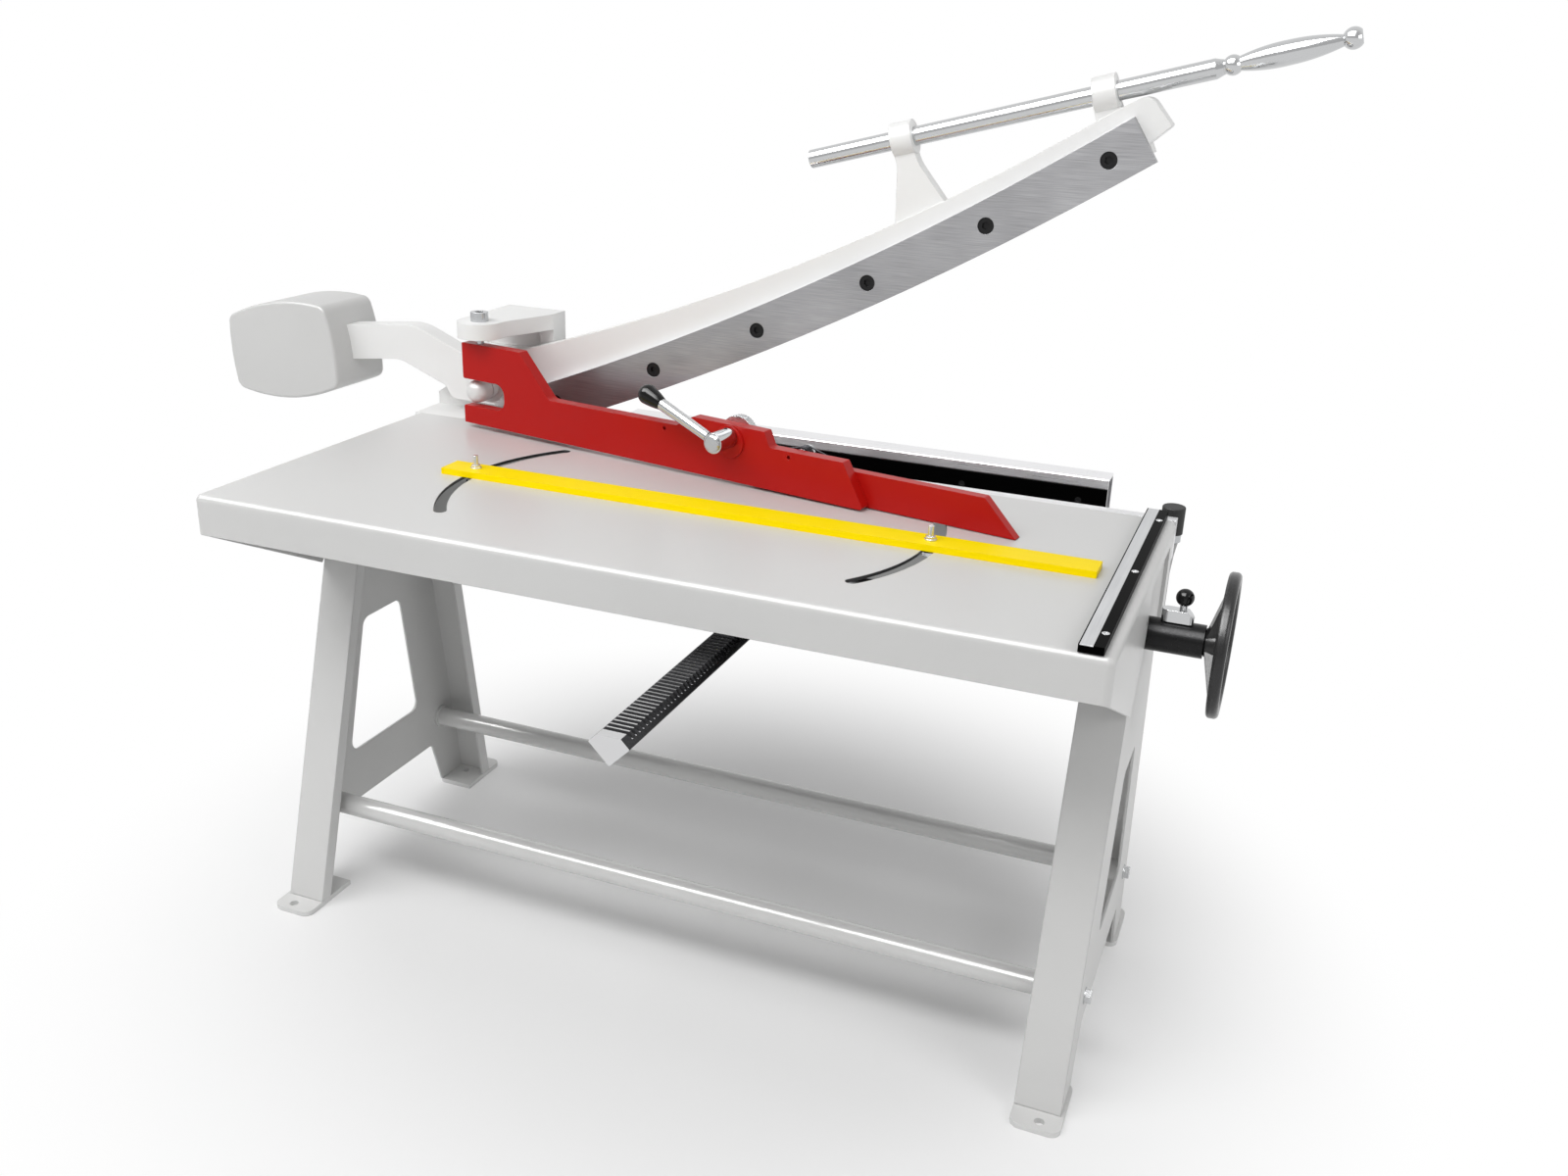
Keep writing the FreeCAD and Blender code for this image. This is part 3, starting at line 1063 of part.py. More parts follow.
# Buffer that the arm's pad comes down on
buffer_top = s.pivot_z + pad_height - s.run
buffer_x = s.right_end - s.buffer_inset
buffer_y = from_front(s.buffer_back)
buffer_low = buffer_top - s.buffer_height
ledge = buffer_low - s.buffer_seat_height
buffer_angle = body("buffer_angle")
plate_low = s.wall_bottom - s.buffer_low
plate_back = rear_face + s.buffer_plate
shelf_back = buffer_y + s.buffer_shelf
under_blade = s.table_height - s.lower_blade_drop - s.run
rib_low = ledge - 3 * s.buffer_shelf_thick
rib_mid = ledge - 1.5 * s.buffer_shelf_thick
pad(buffer_angle, "x", outline([
    (rear_face, plate_low), (plate_back, plate_low), (plate_back, rib_low),
    (plate_back + s.buffer_rib, rib_mid, 20), (shelf_back, ledge - s.buffer_shelf_thick),
    (shelf_back, ledge), (s.cut_plane + 1, ledge), (s.cut_plane + 1, under_blade),
    (rear_face, under_blade)]), "right_end - buffer_plate_width", "buffer_plate_width")
buffer_axis = [(Vector(buffer_x, buffer_y, ledge), UP)]
stud_sunk = 10
stud_up = 13
buffer_stud = Part.makeCylinder(s.buffer_seat_radius, s.buffer_seat_height).fuse(
    Part.makeCylinder(s.m10_shank, stud_sunk + s.buffer_seat_height + stud_up,
                      Vector(0, 0, -stud_sunk)))
keep(cut(buffer_angle, feature(bores(buffer_screws, s.m8_shank + s.fit, s.buffer_plate + 2)),
         feature(bores(buffer_axis, s.m10_shank + s.fit, 1, stud_sunk + 5))), "buffer_bracket")
keep(feature(set_out(buffer_stud.removeSplitter(), buffer_axis)), "buffer_seat")
rubber = Part.makeCylinder(s.buffer_radius, s.buffer_height).cut(
    Part.makeCylinder(s.m10_shank + s.fit, stud_up + s.run))
rubber = rubber.makeFillet(2, [edge for edge in rubber.Edges
                               if edge.BoundBox.ZMin > s.buffer_height - 0.1])
keep(feature(set_out(rubber, [(Vector(buffer_x, buffer_y, buffer_low), UP)])), "rubber_buffer")

# Rack bar: a square bar on its corner, flattened along the top and cut with teeth
pitch = math.pi * s.gear_module
pitch_radius = s.gear_module * s.gear_teeth / 2
rack_add = 0.8 * s.gear_module
rack_deep = 1.25 * s.gear_module
pitch_line = s.wheel_shaft_height - pitch_radius
tooth_top = pitch_line + rack_add
half_diagonal = s.rack_side / math.sqrt(2)
rack_start = from_front(s.rack_front)
rack_end = from_front(s.gauge_back) + s.gauge_depth
flat_half = half_diagonal - (tooth_top - rack_axis)
rack = body("rack_square")
pad(rack, "y", outline([
    (rack_x, rack_axis - half_diagonal, 1.5), (rack_x + half_diagonal, rack_axis, 1.5),
    (rack_x + flat_half, tooth_top), (rack_x - flat_half, tooth_top),
    (rack_x - half_diagonal, rack_axis, 1.5)]),
    "front_edge + rack_front", "gauge_back + gauge_depth - rack_front")
flank = math.tan(math.radians(20))
gap_top = pitch / 4 + s.gear_slack / 2 + rack_add * flank
gap_low = pitch / 4 + s.gear_slack / 2 - rack_deep * flank
gaps_before = int((shaft_y - rack_start - 10) / pitch)
gaps_after = 6
gap_tools = []
for k in range(-gaps_before, gaps_after + 1):
    mid = shaft_y + k * pitch
    corners = [(mid - gap_top, tooth_top), (mid - gap_low, pitch_line - rack_deep),
               (mid + gap_low, pitch_line - rack_deep), (mid + gap_top, tooth_top)]
    lifted = [(mid - gap_top, tooth_top + 1)] + corners + [(mid + gap_top, tooth_top + 1)]
    wire = Part.makePolygon([Vector(rack_x - 25, y, z) for y, z in lifted + lifted[:1]])
    gap_tools.append(Part.Face(wire).extrude(Vector(50, 0, 0)))
gauge_y = from_front(s.gauge_back)
slant = Vector(1, 0, 1).normalize()
carrier_screws = [(Vector(rack_x, gauge_y + along, rack_axis) - slant * 12, slant)
                  for along in (12, 32)]
keep(cut(rack, feature(Part.makeCompound(gap_tools)),
         feature(bores(carrier_screws, s.m8_shank + s.fit, s.rack_side)),
         feature(bores(carrier_screws, s.m8_head + s.fit, 0, 10))), "rack_bar")

# Gauge beam behind the blades, its front plate and the block that ties it to the rack
carrier = body("carrier_block")
carrier_left = rack_x - s.carrier_half
carrier_right = rack_x + s.carrier_half
carrier_low = rack_axis - s.carrier_drop
pad(carrier, "y", outline([
    (carrier_left, carrier_low, 3), (carrier_left + half_diagonal, carrier_low),
    (carrier_right - half_diagonal, carrier_low), (carrier_right, carrier_low, 3),
    (carrier_right, s.gauge_bottom), (carrier_left, s.gauge_bottom)]),
    "front_edge + gauge_back + 2", "gauge_depth - 4")
vee = body("carrier_vee")
pad(vee, "y", outline([
    (rack_x, rack_axis - half_diagonal), (rack_x + half_diagonal, rack_axis, 1.5),
    (rack_x + flat_half, tooth_top), (rack_x - flat_half, tooth_top),
    (rack_x - half_diagonal, rack_axis, 1.5)]), "front_edge + gauge_back", "gauge_depth")
beam_screws = [(Vector(rack_x + dx, gauge_y + s.gauge_depth / 2,
                       s.gauge_bottom + s.gauge_wall), -UP)
               for dx in (-20, 20)]
gauge_screw_length = 25
keep(cut(carrier, vee, feature(bores(carrier_screws, s.m8_shank + s.fit, gauge_screw_length + 1)),
         feature(bores(beam_screws, s.m8_shank + s.fit, gauge_screw_length + 1))),
     "gauge_carrier")
keep(feature(set_out(screw(s.m8_shank, gauge_screw_length, s.m8_head, 6),
                     carrier_screws + beam_screws)), "gauge_screws")
gauge_left = "left_end + rack_along - gauge_length / 2"
gauge = body("gauge_channel")
gauge_x0 = rack_x - s.gauge_length / 2
pad(gauge, "x", outline([
    (gauge_y, s.gauge_bottom), (gauge_y + s.gauge_depth, s.gauge_bottom),
    (gauge_y + s.gauge_depth, s.gauge_top, 3), (gauge_y, s.gauge_top, 3)]), gauge_left,
    "gauge_length")
gauge_core = body("gauge_hollow")
core_front = gauge_y + s.gauge_wall
core_rear = gauge_y + s.gauge_depth - s.gauge_wall
core_low = s.gauge_bottom + s.gauge_wall
core_high = s.gauge_top - s.gauge_wall
pad(gauge_core, "x", outline([
    (core_front, core_low), (core_rear, core_low), (core_rear, core_high),
    (core_front, core_high)]), gauge_left + " - 1", "gauge_length + 2")
face_pitch = (s.gauge_length - 2 * s.face_screw_inset) / (s.face_screw_count - 1)
face_head = s.gauge_face_thick - 1.1
face_screws = [(Vector(gauge_x0 + s.face_screw_inset + k * face_pitch, gauge_y - 1,
                       s.gauge_bottom + s.face_screw_rise), BACK)
               for k in range(int(s.face_screw_count))]
keep(cut(gauge, gauge_core, feature(bores(face_screws, s.m6_shank + s.fit, 6)),
         feature(bores(beam_screws, s.m8_shank + s.fit, s.gauge_wall + 1))), "gauge_beam")
face = box(("gauge_length", "gauge_face_thick", "gauge_face_height"),
           (gauge_left, "front_edge + gauge_back - gauge_face_thick", "gauge_bottom"))
keep(cut(face, feature(bores(face_screws, s.m6_shank + s.fit, 6)),
         feature(bores(face_screws, s.m6_head + s.fit, 0, s.gauge_face_thick))), "gauge_face")
keep(feature(set_out(screw(s.m6_shank, 5, s.m6_head, face_head), face_screws)),
     "gauge_face_screws")


# Pinion: involute teeth that run on the rack with a little slack
def pinion_shape():
    base = pitch_radius * math.cos(math.radians(20))
    tip = pitch_radius + s.gear_module * 0.95
    root = pitch_radius - 1.25 * s.gear_module
    half_tooth = math.pi / (2 * s.gear_teeth) - s.gear_slack / (2 * pitch_radius)
    roll = math.radians(20)
    start_angle = half_tooth + math.tan(roll) - roll
    flank_points = [(root, start_angle)]
    for k in range(7):
        radius = base + (tip - base) * k / 6
        pressure = math.acos(min(1.0, base / radius))
        flank_points.append((radius, start_angle - (math.tan(pressure) - pressure)))
    points = []
    for tooth in range(int(s.gear_teeth)):
        centre = 2 * math.pi * tooth / s.gear_teeth
        right = [(radius, centre - angle) for radius, angle in flank_points]
        left = [(radius, centre + angle) for radius, angle in reversed(flank_points)]
        points += right + left
    corners = [Vector(radius * math.sin(angle), radius * math.cos(angle), 0)
               for radius, angle in points]
    face_of_gear = Part.Face(Part.makePolygon(corners + corners[:1]))
    gear = face_of_gear.extrude(Vector(0, 0, s.gear_width))
    gear.translate(Vector(0, 0, -s.gear_width / 2))
    side = s.housing_gap - s.run
    hubs = Part.makeCylinder(14, 2 * side, Vector(0, 0, -side))
    return gear.fuse(hubs).cut(Part.makeCylinder(s.wheel_shaft_radius + s.fit, 4 * side,
                                                 Vector(0, 0, -2 * side)))


gear_frame = Placement(Vector(rack_x, shaft_y, shaft_z), Rotation(-BACK, -UP, RIGHT, "ZYX"))
keep(feature(pinion_shape(), gear_frame), "pinion")

# Housing under the table top: cheeks for the pinion's shaft and a square guide for the rack
housing = body("housing_casting")
cheek_out = s.housing_gap + s.housing_cheek
flange_low = under_top - s.housing_flange
cheek_low = shaft_z - 40
pad(housing, "y", outline([
    (rack_x - cheek_out, cheek_low), (rack_x - s.housing_gap, cheek_low),
    (rack_x - s.housing_gap, flange_low), (rack_x + s.housing_gap, flange_low),
    (rack_x + s.housing_gap, cheek_low), (rack_x + cheek_out, cheek_low),
    (rack_x + cheek_out, flange_low), (rack_x + s.housing_reach, flange_low),
    (rack_x + s.housing_reach, under_top), (rack_x - s.housing_reach, under_top),
    (rack_x - s.housing_reach, flange_low), (rack_x - cheek_out, flange_low)]),
    "front_edge + housing_front", "housing_length")
guide_low = rack_axis - s.rack_side + 1
guide_high = shaft_z + s.rack_side / 2 + 1
pad(housing, "y", outline([
    (rack_x - cheek_out, guide_low), (rack_x + cheek_out, guide_low),
    (rack_x + cheek_out, guide_high), (rack_x - cheek_out, guide_high)]),
    "front_edge + housing_front", "housing_guide")


def diamond_bore(start, length):
    """Square hole on its corner that the rack slides through with a little clearance."""
    half = (s.rack_side + 2 * s.run) / math.sqrt(2)
    corners = [Vector(rack_x + dx * half, start, rack_axis + dz * half)
               for dx, dz in ((0, -1), (1, 0), (0, 1), (-1, 0), (0, -1))]
    return Part.Face(Part.makePolygon(corners)).extrude(Vector(0, length, 0))


guide_bore = feature(diamond_bore(from_front(s.housing_front) - 1, s.housing_length + 2))
bush_bore = cylinder("bush_radius + fit", "4 * housing_gap", (
    "left_end + rack_along - 2 * housing_gap", "front_edge + wheel_shaft_back",
    "wheel_shaft_height"), "x")
housing_sink = feature(bores(housing_screws, s.m8_head + s.fit, 0, 30))
keep(cut(housing, guide_bore, bush_bore, feature(bores(housing_screws, s.m8_shank + s.fit, 25)),
         housing_sink), "rack_housing")
guide_start = "cut_plane - lower_blade_thick - rear_beam - guide_thick"
guide = box(("2 * guide_reach", "guide_thick", "2 * guide_reach"),
            ("left_end + rack_along - guide_reach", guide_start,
             "wheel_shaft_height - rack_axis_drop - guide_reach"))
keep(cut(guide, feature(diamond_bore(beam_front - s.guide_thick - 1, s.guide_thick + 2)),
         feature(bores(guide_screws, s.m8_shank + s.fit, carcase_screw_length)),
         feature(bores(guide_screws, s.m8_head + s.fit, 0, s.guide_thick))), "rack_rear_guide")
keep(feature(set_out(screw(s.m8_shank, carcase_screw_length, s.m8_head, 8), carcase_screws)),
     "carcase_screws")

# Gauge drive at the right end: flanged sleeve through the leg, bushes, shaft and handwheel
sleeve_out = s.right_end + s.sleeve_reach
flange_in = inner_web - s.leg_sheet
sleeve_length = sleeve_out - flange_in
sleeve = Part.makeCylinder(s.sleeve_radius, sleeve_length).fuse(
    Part.makeCylinder(s.sleeve_flange, s.leg_sheet))
sleeve = sleeve.cut(Part.makeCylinder(s.bush_radius + s.fit, sleeve_length))
lock_x = s.right_end + s.lock_out
lock_hole = Part.makeCylinder(s.m10_shank + s.fit, 2 * s.sleeve_radius,
                              Vector(lock_x, shaft_y, shaft_z), UP)
sleeve = set_out(sleeve.removeSplitter(), [(Vector(flange_in, shaft_y, shaft_z), RIGHT)])
keep(feature(sleeve.cut(Part.makeCompound([lock_hole, bores(flange_screws, s.m8_shank + s.fit, 6)]))),
     "gauge_sleeve")


def bush(x, length):
    ring_of = Part.makeCylinder(s.bush_radius, length).cut(
        Part.makeCylinder(s.wheel_shaft_radius + s.fit, length))
    return set_out(ring_of, [(Vector(x, shaft_y, shaft_z), RIGHT)]).Solids[0]


keep(feature(Part.makeCompound([
    bush(rack_x - cheek_out, s.housing_cheek), bush(rack_x + s.housing_gap, s.housing_cheek),
    bush(flange_in, s.bush_length), bush(sleeve_out - s.bush_length, s.bush_length)])),
    "shaft_bushes")
wheel_start = sleeve_out + s.run
wheel_back = wheel_start + s.wheel_hub_length
rim_start = wheel_back + 1
rim_end = rim_start + s.wheel_rim
shaft_start = rack_x - cheek_out - 4
shaft_length = wheel_back - shaft_start + 3
keep(turned("gauge_shaft_turned", [
    (0, 0), (0, s.wheel_shaft_radius - 1), (1, s.wheel_shaft_radius),
    (shaft_length - 1, s.wheel_shaft_radius), (shaft_length, s.wheel_shaft_radius - 1),
    (shaft_length, 0)], Placement(Vector(shaft_start, shaft_y, shaft_z), Rotation())),
    "gauge_shaft")
rim_inner = s.wheel_radius - s.wheel_rim_depth
rim = turned("wheel_rim_turned", [
    (rim_start, rim_inner, 5), (rim_start, s.wheel_radius, 5),
    (rim_end, s.wheel_radius, 6), (rim_end, rim_inner, 6)],
    Placement(Vector(0, shaft_y, shaft_z), Rotation()))
hub_of_wheel = turned("wheel_hub_turned", [
    (wheel_start, s.wheel_shaft_radius + s.fit), (wheel_start, s.wheel_hub_radius, 2),
    (wheel_back, s.wheel_boss_radius, 2),
    (wheel_back, s.wheel_shaft_radius + s.fit)],
    Placement(Vector(0, shaft_y, shaft_z), Rotation()))
spokes = []
spoke_foot = s.wheel_hub_radius - 2
spoke_end = rim_inner + 4
for k in range(int(s.spoke_count)):
    arm_turn = Rotation(RIGHT, 360 * k / s.spoke_count + s.spoke_turn)
    spoke = Part.Face(Part.makePolygon([
        Vector(wheel_start + 2, 0, spoke_foot), Vector(wheel_back - 1, 0, spoke_foot),
        Vector(rim_end - 3, 0, spoke_end), Vector(rim_start + 2, 0, spoke_end),
        Vector(wheel_start + 2, 0, spoke_foot)])).extrude(Vector(0, s.spoke_width, 0))
    spoke.translate(Vector(0, -s.spoke_width / 2, 0))
    spoke.Placement = Placement(Vector(0, shaft_y, shaft_z), arm_turn).multiply(spoke.Placement)
    spokes.append(spoke)
keep(fuse(rim, hub_of_wheel, feature(Part.makeCompound(spokes))), "handwheel")

# Lock on the sleeve: a clamp screw down to the shaft with a lever and a ball knob
lock_top = s.sleeve_radius + s.lock_height
lock_half = s.lock_width / 2
lock_frame = Placement(Vector(lock_x, shaft_y, shaft_z), Rotation())
ball_along = s.lock_length - lock_half - s.lock_stem_inset
lock_lever = body("lock_lever_block")
pad(lock_lever, "z", outline([
    (-lock_half, -lock_half, lock_half - 0.01), (s.lock_length - lock_half, -lock_half, 6),
    (s.lock_length - lock_half, lock_half, 6), (-lock_half, lock_half, lock_half - 0.01)]),
    "sleeve_radius + run", "lock_height - run")
pocket(lock_lever, "y", outline([
    (ball_along + 6, lock_top + 1), (s.lock_length, lock_top + 1), (s.lock_length, lock_top - 12),
    (s.lock_length - lock_half, lock_top - 9)]), "-lock_width", "2 * lock_width")
pad(lock_lever, "z", ring(0, 0, s.m10_shank), "wheel_shaft_radius + run",
    "sleeve_radius - wheel_shaft_radius")
pad(lock_lever, "z", ring(ball_along, 0, s.m10_shank), "sleeve_radius + run",
    "lock_height + lock_stem")
keep(lock_lever, "lock_lever").Placement = lock_frame
ball_height = lock_top + s.lock_ball_rise
ball = Part.makeSphere(s.lock_ball_radius, Vector(ball_along, 0, ball_height)).cut(
    Part.makeCylinder(s.m10_shank + s.fit, lock_top + s.lock_stem + s.run,
                      Vector(ball_along, 0, s.run)))
keep(feature(ball, lock_frame), "lock_ball")

# Check every object and piece, then write one file for each piece
doc.recompute()
faults = [thing.Label for thing in doc.Objects
          if "Invalid" in thing.State or "Error" in thing.State]
for thing in nodes:
    if thing.Shape.isNull() or not thing.Shape.isValid() or not thing.Shape.Solids:
        faults.append(thing.Label)
if faults:
    raise SystemExit("faulty: " + ", ".join(faults))
os.makedirs("parts", exist_ok=True)
for thing in nodes:
    thing.Shape.exportStep(os.path.join("parts", thing.Label + ".step"))
    print("%-22s solids %2d  volume %.0f" % (thing.Label, len(thing.Shape.Solids),
                                             thing.Shape.Volume))
print("nodes", len(nodes))
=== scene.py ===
import math

import bpy
import numpy as np
from mathutils import Matrix, Vector

# A floor-standing guillotine shear for sheet metal, seen from the front, a little from the right.
# Everything is in metres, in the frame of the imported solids: +X to the handwheel's end, +Y to the
# rear.
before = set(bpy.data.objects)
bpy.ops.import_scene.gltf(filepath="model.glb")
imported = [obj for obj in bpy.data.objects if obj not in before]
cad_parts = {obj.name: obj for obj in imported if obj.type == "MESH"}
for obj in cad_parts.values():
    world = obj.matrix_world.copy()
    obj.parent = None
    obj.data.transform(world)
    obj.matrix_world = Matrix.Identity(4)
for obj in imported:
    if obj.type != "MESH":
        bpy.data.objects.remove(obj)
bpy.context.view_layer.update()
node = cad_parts


# Camera and studio
# A catalogue photograph in a white studio: a long soft box over the front edge with a wider one
# that only shines in gloss, a weaker one from the right, and a pale floor that fades to white.
def rgb(code):
    """An sRGB hex colour as the linear red, green, blue and alpha that the shaders take."""
    parts = np.array([int(code[k:k + 2], 16) for k in (1, 3, 5)]) / 255
    linear = np.where(parts <= 0.04045, parts / 12.92, ((parts + 0.055) / 1.055) ** 2.4)
    return (*linear.tolist(), 1.0)


def add(tree, kind, inputs=None, **settings):
    """Add one shader node: settings are its options, inputs are values or other nodes' outputs."""
    made = tree.nodes.new("ShaderNode" + kind)
    for key, value in settings.items():
        setattr(made, key, value)
    for key, value in (inputs or {}).items():
        if isinstance(value, bpy.types.NodeSocket):
            tree.links.new(value, made.inputs[key])
        else:
            made.inputs[key].default_value = value
    return made


def look_from(place, azimuth, elevation, roll):
    """The camera's matrix: it stands at place and looks back along the two angles, in degrees."""
    az, el, turn = (math.radians(angle) for angle in (azimuth, elevation, roll))
    back = Vector((math.sin(az) * math.cos(el), -math.cos(az) * math.cos(el), math.sin(el)))
    right = (-back).cross(Vector((0, 0, 1))).normalized()
    up = right.cross(-back)
    level = Matrix((right, up, back)).transposed().to_4x4()
    return Matrix.Translation(place) @ level @ Matrix.Rotation(turn, 4, "Z")


scene = bpy.context.scene
scene.view_settings.view_transform = "Standard"
lens = bpy.data.cameras.new("camera")
lens.lens = 32.156
lens.shift_x = 0.0016
lens.shift_y = -0.0014
camera = bpy.data.objects.new("camera", lens)
camera.matrix_world = look_from(place=(0.81008, -1.81317, 1.35857), azimuth=20.975,
                                elevation=21.269, roll=2.032)
scene.collection.objects.link(camera)
scene.camera = camera


def soft_light(name, place, target, width, height, power, sheen_only=False):
    """A flat soft box that faces the target, or one that only shines in gloss."""
    box = bpy.data.lights.new(name, "AREA")
    box.shape = "RECTANGLE"
    box.size = width
    box.size_y = height
    box.energy = power
    lamp = bpy.data.objects.new(name, box)
    lamp.visible_diffuse = not sheen_only
    aim = (Vector(target) - Vector(place)).to_track_quat("-Z", "Y")
    lamp.matrix_world = Matrix.Translation(place) @ aim.to_matrix().to_4x4()
    scene.collection.objects.link(lamp)


soft_light("key_light", place=(-1.4, -1.8, 3.3), target=(-1.0, -0.1, 0.75), width=4.2,
           height=1.4, power=84)
soft_light("strip_light", place=(-1.4, -1.6, 3.6), target=(-1.2, -0.2, 0.75), width=4.8,
           height=2.6, power=330, sheen_only=True)
soft_light("side_light", place=(2.9, -0.9, 1.9), target=(0.3, 0, 0.7), width=1.6,
           height=1.2, power=16)

# Gloss sees the wall behind as white and the room before the camera as dim.
world = bpy.data.worlds.new("studio")
world.use_nodes = True
scene.world = world
sky = world.node_tree
sky.nodes.clear()
ray = add(sky, "LightPath")
clear = add(sky, "Math", {0: ray.outputs["Is Camera Ray"], 1: ray.outputs["Is Transmission Ray"]},
            operation="MAXIMUM")
way = add(sky, "SeparateXYZ", {0: add(sky, "TexCoord").outputs["Generated"]})
behind = add(sky, "MapRange", {"Value": way.outputs["Y"], "From Min": -0.5, "From Max": 0.2,
                               "To Min": 0.3, "To Max": 1.0})
seen = add(sky, "Math", {0: ray.outputs["Is Glossy Ray"], 1: behind.outputs[0]},
           operation="MULTIPLY")
backdrop = add(sky, "Math", {0: clear.outputs[0], 1: seen.outputs[0]}, operation="MAXIMUM")
white = add(sky, "Background", {"Color": (1, 1, 1, 1), "Strength": 1.0})
room = add(sky, "Background", {"Color": (1, 1, 1, 1), "Strength": 0.5})
both = add(sky, "MixShader", {0: backdrop.outputs[0], 1: room.outputs[0], 2: white.outputs[0]})
add(sky, "OutputWorld", {"Surface": both.outputs[0]})

floor_mesh = bpy.data.meshes.new("floor")
reach = 60.0
under_feet = -0.0004
floor_mesh.from_pydata([(x, y, under_feet) for x, y in ((-reach, -reach), (reach, -reach),
                                                        (reach, reach), (-reach, reach))],
                       [], [(0, 1, 2, 3)])
floor = bpy.data.objects.new("floor", floor_mesh)
scene.collection.objects.link(floor)
paper = bpy.data.materials.new("floor_paper")
paper.use_nodes = True
tree = paper.node_tree
tree.nodes.clear()
matt = add(tree, "BsdfDiffuse", {"Color": rgb("#F4F4F4")})
glow = add(tree, "Emission", {"Color": (1, 1, 1, 1), "Strength": 1.0})
ray = add(tree, "LightPath")
clear = add(tree, "Math", {0: ray.outputs["Is Camera Ray"], 1: ray.outputs["Is Transmission Ray"]},
            operation="MAXIMUM")
clear = add(tree, "Math", {0: clear.outputs[0], 1: ray.outputs["Is Glossy Ray"]},
            operation="MAXIMUM")
away = add(tree, "VectorMath", {0: add(tree, "TexCoord").outputs["Object"]}, operation="LENGTH")
shadow_ends = 0.45
all_white = 1.15
fade = add(tree, "MapRange", {"Value": away.outputs["Value"], "From Min": shadow_ends,
                              "From Max": all_white, "To Min": 0.0, "To Max": 1.0},
           interpolation_type="SMOOTHSTEP")
share = add(tree, "Math", {0: clear.outputs[0], 1: fade.outputs[0]}, operation="MULTIPLY")
both = add(tree, "MixShader", {0: share.outputs[0], 1: matt.outputs[0], 2: glow.outputs[0]})
add(tree, "OutputMaterial", {"Surface": both.outputs[0]})
floor_mesh.materials.append(paper)


# Table body
# A welded shell of folded steel sheet with a rolled front edge, sprayed with white machine enamel.
# The coat is smooth with a faint orange peel; the inside of the shell and the walls of its slots
# are painted near black as painted shade.
def surface(name):
    """A new empty material and its node tree."""
    made = bpy.data.materials.new(name)
    made.use_nodes = True
    made.node_tree.nodes.clear()
    return made, made.node_tree


def dress(material, *names):
    """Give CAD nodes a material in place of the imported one."""
    for name in names:
        slots = node[name].data.materials
        slots.clear()
        slots.append(material)


def enamel(name, colour, deep, roughness, peel=0.0035, edge=0.0012, lumps=0.0, level=0.5,
           bare=None, shade_band=None):
    """Sprayed enamel: two near shades drift over the coat, and bump is its orange peel.

    peel is the size of the orange peel in metres, edge the radius of the corners that the paint
    rounds, lumps the height of the casting's skin below, level the specular level, and past bare,
    a place on Y, the steel has no paint. Between the two heights of shade_band the inside of the
    table's shell and the walls of its slots are painted near black, a painted shade in place of
    their shadow.
    """
    peel_height = 0.00006
    made, tree = surface(name)
    place = add(tree, "TexCoord").outputs["Object"]
    drift = add(tree, "TexNoise", {"Vector": place, "Scale": 3.0, "Detail": 3.0})
    shade = add(tree, "Mix", {0: drift.outputs[0], 6: rgb(deep), 7: rgb(colour)}, data_type="RGBA")
    tint = shade.outputs[2]
    # Painted shade: within the box on X and Y and between the heights of shade_band the coat turns
    # near black, standing in for the shadow inside the shell and its slots.
    if shade_band:
        at = add(tree, "SeparateXYZ", {0: place})
        inside = 1.0
        for axis, low, high in (("X", -0.63, 0.63), ("Y", -0.335, 0.165), ("Z", *shade_band)):
            move = add(tree, "Math", {0: at.outputs[axis], 1: (low + high) / 2},
                       operation="SUBTRACT")
            size = add(tree, "Math", {0: move.outputs[0]}, operation="ABSOLUTE")
            near = add(tree, "Math", {0: size.outputs[0], 1: (high - low) / 2},
                       operation="LESS_THAN")
            both = add(tree, "Math", {0: inside, 1: near.outputs[0]}, operation="MULTIPLY")
            inside = both.outputs[0]
        painted_shade = add(tree, "Mix", {0: inside, 6: tint, 7: rgb("#161617")}, data_type="RGBA")
        tint = painted_shade.outputs[2]
    skin = add(tree, "TexNoise", {"Vector": place, "Scale": 1 / peel, "Detail": 2.0})
    rounded = add(tree, "Bevel", {"Radius": edge}, samples=4)
    relief = add(tree, "Bump", {"Height": skin.outputs[0], "Distance": peel_height,
                                "Strength": 0.5, "Normal": rounded.outputs[0]})
    if lumps:
        cast = add(tree, "TexNoise", {"Vector": place, "Scale": 160.0, "Detail": 4.0})
        relief = add(tree, "Bump", {"Height": cast.outputs[0], "Distance": lumps, "Strength": 0.6,
                                    "Normal": relief.outputs[0]})
    gloss = add(tree, "MapRange", {"Value": drift.outputs[0], "To Min": roughness - 0.05,
                                   "To Max": roughness + 0.05})
    coat = add(tree, "BsdfPrincipled", {"Base Color": tint, "Roughness": gloss.outputs[0],
                                        "Normal": relief.outputs[0], "IOR": 1.5,
                                        "Specular IOR Level": level})
    if bare is not None:
        depth = add(tree, "SeparateXYZ", {0: place})
        steel = add(tree, "Math", {0: depth.outputs["Y"], 1: bare}, operation="GREATER_THAN")
        mixed = add(tree, "Mix", {0: steel.outputs[0], 6: tint, 7: rgb("#B4B5B7")},
                    data_type="RGBA")
        tree.links.new(mixed.outputs[2], coat.inputs["Base Color"])
        tree.links.new(steel.outputs[0], coat.inputs["Metallic"])
    add(tree, "OutputMaterial", {"Surface": coat.outputs[0]})
    return made


# The shade band, from 0.560 m up to the top, paints the inside of the shell dark as painted shade.
white_enamel = enamel("white_enamel", "#CFCFCE", "#C8C8C7", 0.32, shade_band=(0.560, 0.7304))
dress(white_enamel, "table_body")


